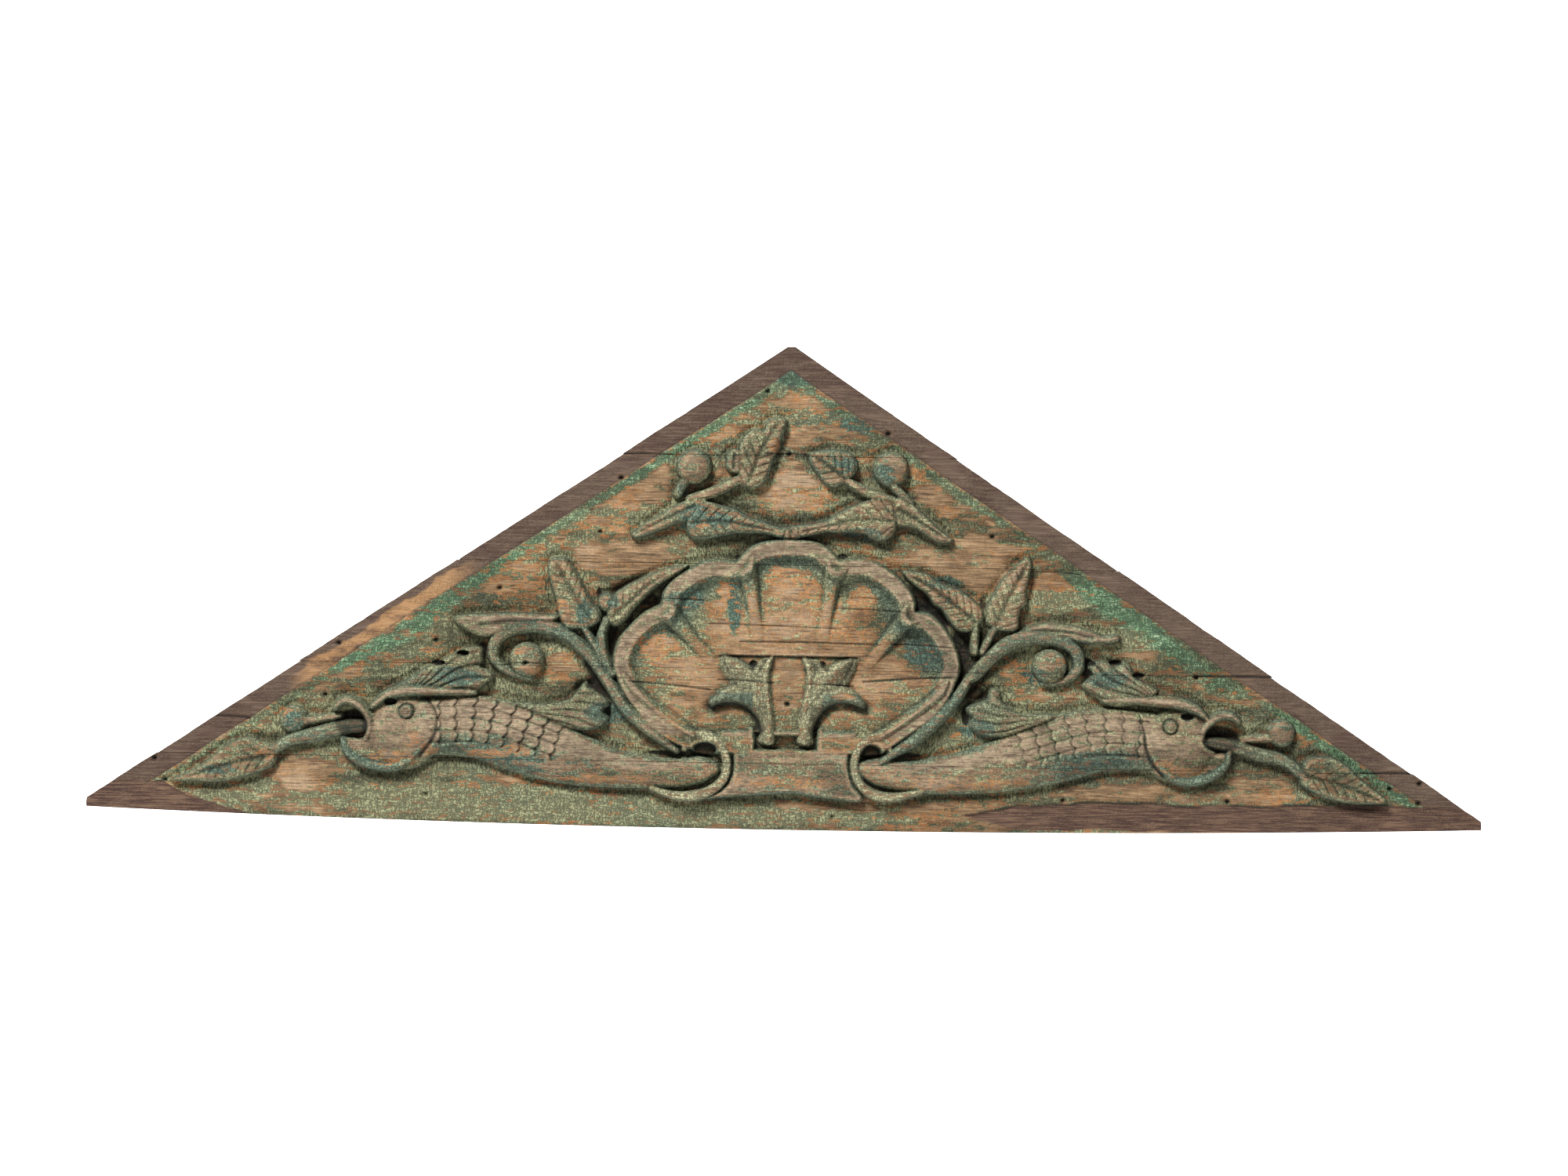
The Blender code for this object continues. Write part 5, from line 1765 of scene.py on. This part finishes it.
class Nodes:
    """Builds a shader step by step."""

    EVEN: float = 0.5
    CRACK: Span = (0.01, 0.075)

    def __init__(self, tree: bpy.types.NodeTree) -> None:
        """Starts on a tree."""
        self.tree = tree

    def put(self, value: object, socket: Socket) -> None:
        """Fills an input.

        Args:
            value: Another node's output or a plain value.
            socket: The input.
        """
        if isinstance(value, bpy.types.NodeSocket):
            self.tree.links.new(value, socket)
        else:
            socket.default_value = value

    def add(self, step: Step, *inputs: object, **settings: object) -> Socket:
        """Adds a node with its settings and links.

        Args:
            step: Its kind.
            *inputs: What goes into its sockets, in order: outputs or plain values.
            **settings: Settings besides those of its kind.

        Returns:
            Its output.
        """
        kind, given, sockets, output = step.value
        node = self.tree.nodes.new(kind)
        for name, value in {**given, **settings}.items():
            setattr(node, name, value)
        for key, value in zip(sockets, inputs):
            self.put(value, node.inputs[key])
        return node.outputs[output]

    def patches(self, size: Size, detail: float, rough: float) -> Socket:
        """Soft patches of a real size.

        Args:
            size: Their size across, through and up, in millimetres.
            detail: How many finer layers they have.
            rough: How strong those are.

        Returns:
            Their value, 0 to 1.
        """
        scale = tuple(1.0 / (side * MM) for side in size)
        places = self.add(Step.SCALED, self.add(Step.PLACES), scale)
        return self.add(Step.NOISE, places, 1.0, detail, rough)

    def cracks(self, size: Size) -> Socket:
        """Cracks along the contours of patches of a size: 0 in a crack and 1 away from it."""
        off = self.add(Step.DIFFERENCE, self.patches(size, 1.0, self.EVEN), self.EVEN)
        return self.add(Step.RANGE, self.add(Step.UNSIGNED, off), *self.CRACK)


@dataclass(frozen=True)
class PaintedPine:
    """Hand-carved pine under old brushed oil paint.

    Wood, undercoat and paint are dry and matt, so the light falls broad and weak on all of them. The
    paint has shrunk into a net of cracks and comes off in flakes along the grain, which gives the eye
    a rough, scaly green over warm, streaky wood. Real hairline cracks are too fine to show from this
    far, so they are drawn about half a millimetre wide.

    Attributes:
        bare: Bare wood.
        bare_dark: Its darker streaks.
        stained: Bare wood where paint has flaked off lately.
        orange: The undercoat.
        sage: The paint.
        olive: The paint's duller patches.
        teal: The paint where it is blue-green.
        worn: Rubbed grey-brown wood.
        worn_light: Its lighter streaks.
        rim: The bare margin.
        rim_tan: Its lighter stretch.
        torn: Broken wood.
        torn_dark: Its darker streaks.
        emerald: The streak beside the margin.
        fleck: Old whitewash in it.
        pale: Bleached paint.
        dirt: Soiling, and painted shade in hollows and recesses.
        raw: The sawn back and edges.
        grain: Size of the grain's streaks.
        splits: Size of the patches between fine splits in bare wood.
        flake: Size of the flakes that the paint comes off in.
        upright: Distance between upright cracks in the paint, depth, and their length.
        level: Length of level cracks, depth, and the distance between them.
        streaky: Grain values from the dark streaks to the light wood.
        freckled: Flake values from the dark patches to the light ones.
        flaky: Flake values that are taken from the cover, and how much they take or add.
        holding: Cover from where paint is gone to where it holds.
        primed: Cover from where the undercoat is gone to where it holds.
        smudged_and_lit: Shade values from smudged and in painted shade to clean and in painted highlight,
            and what they do to the colour.
        crack_shade: Colour left in a crack, in plain paint and in scooped ground.
        over_wood: Share of the cracks that shows in wood and in paint.
        dusted_and_shaded: Darkening from soiling and painted shade, from none to all, and how much it
            covers.
        switch: Where a layer turns into the next one.
        ior: Oil paint's and wood's.
        roughness: Of dry paint and wood.
        shine: Strength of the highlights, less than fresh paint's.
        grain_relief: Height of the grain against that of the paint's edge.
        bump: Strength of the fine relief.
        paint_height: Height of the paint's edge and grain in millimetres.
    """

    bare: str = "#a2835f"
    bare_dark: str = "#6c543d"
    stained: str = "#7b5c3a"
    orange: str = "#a66f3f"
    sage: str = "#878866"
    olive: str = "#68684a"
    teal: str = "#5a7060"
    worn: str = "#6a5a47"
    worn_light: str = "#98876f"
    rim: str = "#524136"
    rim_tan: str = "#98734d"
    torn: str = "#67503f"
    torn_dark: str = "#432f27"
    emerald: str = "#6c8c68"
    fleck: str = "#a9b295"
    pale: str = "#aba784"
    dirt: str = "#17140d"
    raw: str = "#806a52"
    grain: Size = (38.0, 14.0, 2.0)
    splits: Size = (34.0, 20.0, 1.5)
    flake: Size = (15.0, 8.0, 4.6)
    upright: Size = (3.6, 9.0, 9.5)
    level: Size = (11.0, 9.0, 3.4)
    streaky: Span = (0.3, 0.58)
    freckled: Span = (0.34, 0.62)
    flaky: Span = (0.3, 0.7, -0.36, 0.36)
    holding: Span = (0.44, 0.52)
    primed: Span = (0.2, 0.42)
    smudged_and_lit: Span = (0.34, 0.66, 0.7, 1.1)
    crack_shade: Span = (0.0, 0.8, 0.36, 0.3)
    over_wood: Span = (0.0, 1.0, 0.35, 1.0)
    dusted_and_shaded: Span = (0.03, 1.0, 0.0, 0.96)
    switch: Span = (0.3, 0.7)
    ior: float = 1.5
    roughness: float = 0.78
    shine: float = 0.3
    grain_relief: float = 1.8
    bump: float = 0.9
    paint_height: float = 1.0

    def wood(self, nodes: Nodes, wear: Wear, grain: Socket, fine: Socket) -> Socket:
        """The wood under the paint.

        Args:
            nodes: The tree.
            wear: The layers of the face.
            grain: The grain's pattern.
            fine: The flakes' pattern.

        Returns:
            Its colour.
        """
        streaks = nodes.add(Step.RANGE, grain, *self.streaky)
        bare = nodes.add(Step.COLOUR, streaks, linear(self.bare_dark), linear(self.bare))
        # Lighter bare wood where the shade layer is high, in clean patches and painted highlights.
        washed = nodes.add(Step.RANGE, wear[Layer.SHADE], 0.4, 0.8, 0.0, 0.6)
        bare = nodes.add(Step.COLOUR, washed, bare, linear(self.worn_light))
        streaks = nodes.add(Step.RANGE, grain, 0.36, 0.62)
        stained = nodes.add(Step.COLOUR, streaks, linear(self.torn), linear(self.stained))
        lately = nodes.add(Step.RANGE, wear[Layer.COVER], 0.15, 0.5, 0.0, 0.85)
        bare = nodes.add(Step.COLOUR, lately, bare, stained)
        patches = nodes.add(Step.RANGE, fine, *self.freckled)
        worn = nodes.add(Step.COLOUR, patches, linear(self.worn), linear(self.worn_light))
        bare = nodes.add(Step.COLOUR, nodes.add(Step.RANGE, wear[Layer.WORN], 0.1, 0.8), bare, worn)
        splits = nodes.add(Step.RANGE, nodes.patches(self.splits, 2.0, 0.6), 0.33, 0.46, 0.4, 1.0)
        return nodes.add(Step.SHADED, 1.0, bare, splits)

    def paint(self, nodes: Nodes, wear: Wear, fine: Socket) -> Socket:
        """The paint, before it cracked.

        Args:
            nodes: The tree.
            wear: The layers of the face.
            fine: The flakes' pattern.

        Returns:
            Its colour.
        """
        # Sage where the shade layer is high, in clean patches and painted highlights; olive where it is low.
        fresh = nodes.add(Step.RANGE, wear[Layer.SHADE], 0.3, 0.62)
        paint = nodes.add(Step.COLOUR, fresh, linear(self.olive), linear(self.sage))
        blue = nodes.add(Step.RANGE, wear[Layer.TONE], 0.25, 0.85)
        paint = nodes.add(Step.COLOUR, blue, paint, linear(self.teal))
        wisps = nodes.add(Step.SUM, wear[Layer.STREAK], nodes.add(Step.PRODUCT, fine, 0.5))
        streak = nodes.add(Step.RANGE, wisps, 0.45, 0.95)
        paint = nodes.add(Step.COLOUR, streak, paint, linear(self.emerald))
        flecks = nodes.add(Step.PRODUCT, streak, nodes.add(Step.RANGE, fine, 0.54, 0.7, 0.0, 0.6))
        paint = nodes.add(Step.COLOUR, flecks, paint, linear(self.fleck))
        bleached = nodes.add(Step.PRODUCT, wear[Layer.PALE], 0.75)
        paint = nodes.add(Step.COLOUR, bleached, paint, linear(self.pale))
        return nodes.add(Step.SHADED, 1.0, paint, nodes.add(Step.RANGE, fine, 0.3, 0.7, 0.74, 1.12))

    def margin(self, nodes: Nodes, wear: Wear, grain: Socket, fine: Socket) -> Socket:
        """The bare margin along the sloping edges.

        Args:
            nodes: The tree.
            wear: The layers of the face.
            grain: The grain's pattern.
            fine: The flakes' pattern.

        Returns:
            Its colour.
        """
        margin = nodes.add(Step.COLOUR, wear[Layer.PALE], linear(self.rim), linear(self.rim_tan))
        stain = nodes.add(Step.SUM, wear[Layer.SHADE], nodes.add(Step.PRODUCT, fine, 0.6))
        stain = nodes.add(Step.RANGE, stain, 0.7, 0.95, 0.0, 0.75)
        margin = nodes.add(Step.COLOUR, stain, margin, linear(self.torn_dark))
        streaks = nodes.add(Step.RANGE, grain, 0.4, 0.7, 0.0, 0.2)
        return nodes.add(Step.COLOUR, streaks, margin, linear(self.worn_light))

    def sawn(self, nodes: Nodes, wear: Wear, grain: Socket) -> Socket:
        """The sawn back and edges.

        Args:
            nodes: The tree.
            wear: The layers of the face.
            grain: The grain's pattern.

        Returns:
            Their colour.
        """
        streaks = nodes.add(Step.RANGE, grain, 0.35, 0.65)
        sawn = nodes.add(Step.COLOUR, streaks, linear(self.torn), linear(self.raw))
        stock = nodes.add(Step.RANGE, wear[Layer.SHADE], 0.3, 0.75, 0.62, 1.0)
        return nodes.add(Step.SHADED, 1.0, sawn, stock)

    def build(self) -> bpy.types.Material:
        """Makes the material.

        Returns:
            The material.
        """
        material = bpy.data.materials.new("painted_pine")
        material.use_nodes = True
        nodes = Nodes(material.node_tree)
        wear = {layer: nodes.add(Step.LAYER, attribute_name=layer.value) for layer in Layer}
        grain = nodes.patches(self.grain, 3.0, 0.6)
        fine = nodes.patches(self.flake, 4.0, 0.72)
        upright = nodes.cracks(self.upright)
        both = nodes.add(Step.LESSER, upright, nodes.cracks(self.level))
        scooped = nodes.add(Step.RANGE, wear[Layer.SCOOP], *self.switch)
        line = nodes.add(Step.VALUE, scooped, both, upright)

        cover = nodes.add(Step.SUM, wear[Layer.COVER], nodes.add(Step.RANGE, fine, *self.flaky))
        painted = nodes.add(Step.RANGE, cover, *self.holding)
        warm = nodes.add(Step.PRODUCT, wear[Layer.WARM], nodes.add(Step.RANGE, cover, *self.primed))
        colour = nodes.add(Step.COLOUR, warm, self.wood(nodes, wear, grain, fine), linear(self.orange))
        colour = nodes.add(Step.COLOUR, painted, colour, self.paint(nodes, wear, fine))
        # The shade layer darkens smudges and painted shade in hollows, and lightens painted highlights on
        # proud edges.
        colour = nodes.add(Step.SHADED, 1.0, colour, nodes.add(Step.RANGE, wear[Layer.SHADE], *self.smudged_and_lit))
        crack = nodes.add(Step.RANGE, wear[Layer.SCOOP], *self.crack_shade)
        crack = nodes.add(Step.VALUE, line, crack, 1.0)
        crack = nodes.add(Step.VALUE, nodes.add(Step.RANGE, painted, *self.over_wood), 1.0, crack)
        colour = nodes.add(Step.SHADED, 1.0, colour, crack)

        rim = nodes.add(Step.RANGE, wear[Layer.RIM], *self.switch)
        colour = nodes.add(Step.COLOUR, rim, colour, self.margin(nodes, wear, grain, fine))
        streaks = nodes.add(Step.RANGE, grain, 0.4, 0.62)
        broken = nodes.add(Step.COLOUR, streaks, linear(self.torn_dark), linear(self.torn))
        torn = nodes.add(Step.RANGE, wear[Layer.TORN], *self.switch)
        colour = nodes.add(Step.COLOUR, torn, colour, broken)
        raw = nodes.add(Step.RANGE, wear[Layer.RAW], 0.02, 0.3)
        colour = nodes.add(Step.COLOUR, raw, colour, self.sawn(nodes, wear, grain))
        # Soiling and painted shade darken the colour towards near black.
        dirt = nodes.add(Step.PRODUCT, wear[Layer.DIRT], nodes.add(Step.RANGE, fine, 0.2, 0.8, 0.8, 1.1))
        dirt = nodes.add(Step.RANGE, dirt, *self.dusted_and_shaded)
        colour = nodes.add(Step.COLOUR, dirt, colour, linear(self.dirt))

        coat = nodes.add(Step.PRODUCT, line, nodes.add(Step.RANGE, wear[Layer.COVER], 0.38, 0.5))
        relief = nodes.add(Step.SUM, coat, nodes.add(Step.PRODUCT, grain, self.grain_relief))
        normal = nodes.add(Step.BUMP, relief, self.bump, self.paint_height * MM)
        shader = material.node_tree.nodes["Principled BSDF"]
        for name, value in {
            "Base Color": colour, "Roughness": self.roughness, "IOR": self.ior,
            "Specular IOR Level": self.shine, "Normal": normal,
        }.items():
            nodes.put(value, shader.inputs[name])
        return material


@dataclass(frozen=True)
class PaleCard:
    """Matt white card, for the sweep: it gives the eye an even, shadowless ground.

    Attributes:
        white: Its colour.
        glow: Its own light, which evens out the backdrop.
        roughness: Of plain card.
        lit: From where to where, in metres behind the panel, the backdrop starts to glow.
    """

    white: str = "#e7e7e7"
    glow: str = "#ffffff"
    roughness: float = 1.0
    lit: Span = (0.6, 1.8)

    def build(self) -> bpy.types.Material:
        """Makes the material, which can be seen through from behind.

        Returns:
            The material.
        """
        material = bpy.data.materials.new("floor")
        material.use_nodes = True
        shader = material.node_tree.nodes["Principled BSDF"]
        nodes = Nodes(material.node_tree)
        back = nodes.add(Step.DEPTH, nodes.add(Step.PLACES))
        for name, value in {
            "Base Color": linear(self.white), "Roughness": self.roughness,
            "Emission Color": linear(self.glow), "Emission Strength": nodes.add(Step.RANGE, back, *self.lit),
        }.items():
            nodes.put(value, shader.inputs[name])
        both = nodes.add(Step.EITHER, nodes.add(Step.BEHIND), shader.outputs[0], nodes.add(Step.CLEAR))
        nodes.put(both, material.node_tree.nodes["Material Output"].inputs["Surface"])
        return material


@dataclass(frozen=True)
class Lamp:
    """A square soft light.

    Attributes:
        name: Its name.
        place: Where it stands, in metres.
        side: Length of its side in metres.
        power: Its power in watts.
    """

    name: str
    place: Size
    side: float
    power: float

    def build(self, target: Vector) -> None:
        """Adds it.

        Args:
            target: What it faces.
        """
        data = bpy.data.lights.new(self.name, "AREA")
        data.shape = "SQUARE"
        data.size = self.side
        data.energy = self.power
        lamp = added(self.name, data)
        lamp.location = self.place
        lamp.rotation_euler = (target - lamp.location).to_track_quat("-Z", "Y").to_euler()


@dataclass(frozen=True)
class Studio:
    """Pale sweep, soft lights and the camera, in metres.

    Attributes:
        lens: Focal length in millimetres.
        sensor: Width of the film in millimetres.
        frame_width: Width that the picture covers at the face of the panel.
        aim: Where the middle of the picture lies, across and up.
        roll: Turn of the camera in degrees.
        face: How far the carved face stands out.
        target: What the lights face.
        floor: Height of the floor.
        side: Half the floor's width.
        near: Where the floor starts.
        back: Where it starts to curve up.
        bend: Radius of the curve.
        bends: Steps in the curve.
        top: Height of the backdrop.
        ambient: Strength of the even light from all round.
        key: The light from the upper left.
        fill: The weak light from the right.
    """

    lens: float = 100.0
    sensor: float = 36.0
    frame_width: float = 2.0
    aim: Point = (-0.0045, 0.079)
    roll: float = 1.01
    face: float = 0.05
    target: Size = (0.0, 0.0, 0.05)
    floor: float = -1.0
    side: float = 9.0
    near: float = -9.0
    back: float = 1.2
    bend: float = 1.2
    bends: int = 8
    top: float = 6.0
    ambient: float = 0.07
    key: Lamp = Lamp("key", (-2.6, -5.9, 5.6), 2.3, 1230.0)
    fill: Lamp = Lamp("fill", (1.2, -4.6, 0.2), 2.6, 6.0)

    def sweep(self) -> None:
        """Makes the floor that curves up into the backdrop."""
        profile = [(self.near, self.floor), (self.back, self.floor)]
        for step in range(1, self.bends + 1):
            turn = math.radians(90.0 * step / self.bends)
            rise = self.bend * (1.0 - math.cos(turn))
            profile.append((self.back + self.bend * math.sin(turn), self.floor + rise))
        profile.append((self.back + self.bend, self.top))
        points = [(x, y, z) for x in (-self.side, self.side) for y, z in profile]
        count = len(profile)
        faces = [(k, k + count, k + count + 1, k + 1) for k in range(count - 1)]
        mesh = bpy.data.meshes.new("floor")
        mesh.from_pydata(points, [], faces)
        mesh.polygons.foreach_set("use_smooth", [True] * len(faces))
        mesh.materials.append(PaleCard().build())
        added("floor", mesh)

    def camera(self) -> None:
        """Places the camera straight in front."""
        data = bpy.data.cameras.new("camera")
        data.sensor_width = self.sensor
        data.lens = self.lens
        data.dof.use_dof = False
        camera = added("camera", data)
        distance = self.frame_width * self.lens / self.sensor
        across, up = self.aim
        upright = Matrix.Rotation(math.radians(90.0), 4, "X")
        turn = Matrix.Rotation(math.radians(self.roll), 4, "Z")
        camera.matrix_world = Matrix.Translation((across, -(distance + self.face), up)) @ upright @ turn
        bpy.context.scene.camera = camera

    def build(self) -> None:
        """Sets up the whole studio."""
        self.sweep()
        for lamp in (self.key, self.fill):
            lamp.build(Vector(self.target))
        world = bpy.data.worlds.new("world")
        world.use_nodes = True
        background = world.node_tree.nodes["Background"]
        background.inputs["Color"].default_value = linear("#ffffff")
        background.inputs["Strength"].default_value = self.ambient
        scene = bpy.context.scene
        scene.world = world
        scene.view_settings.view_transform = "Standard"
        scene.view_settings.look = "None"
        self.camera()


def main() -> None:
    """Builds the panel and its studio."""
    logging.basicConfig(level=logging.INFO, format="%(message)s")
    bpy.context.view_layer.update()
    face = Carving()
    Shell().carve(face)
    Centre().carve(face)
    for fish in (LEFT_FISH, RIGHT_FISH):
        fish.carve(face)
    for piece in SIDE_SPRAYS + TOP_SPRAYS + END_SPRAYS:
        piece.carve(face)
    LOG.info("relief carved")
    age = Age()
    age.ground(face)
    age.margins(face)
    age.holes(face)
    age.grime_and_painted_light(face)
    LOG.info("wear laid on")
    material = PaintedPine().build()
    for board in BOARDS:
        board.build(face, material)
    Studio().build()


if __name__ == "__main__":
    main()
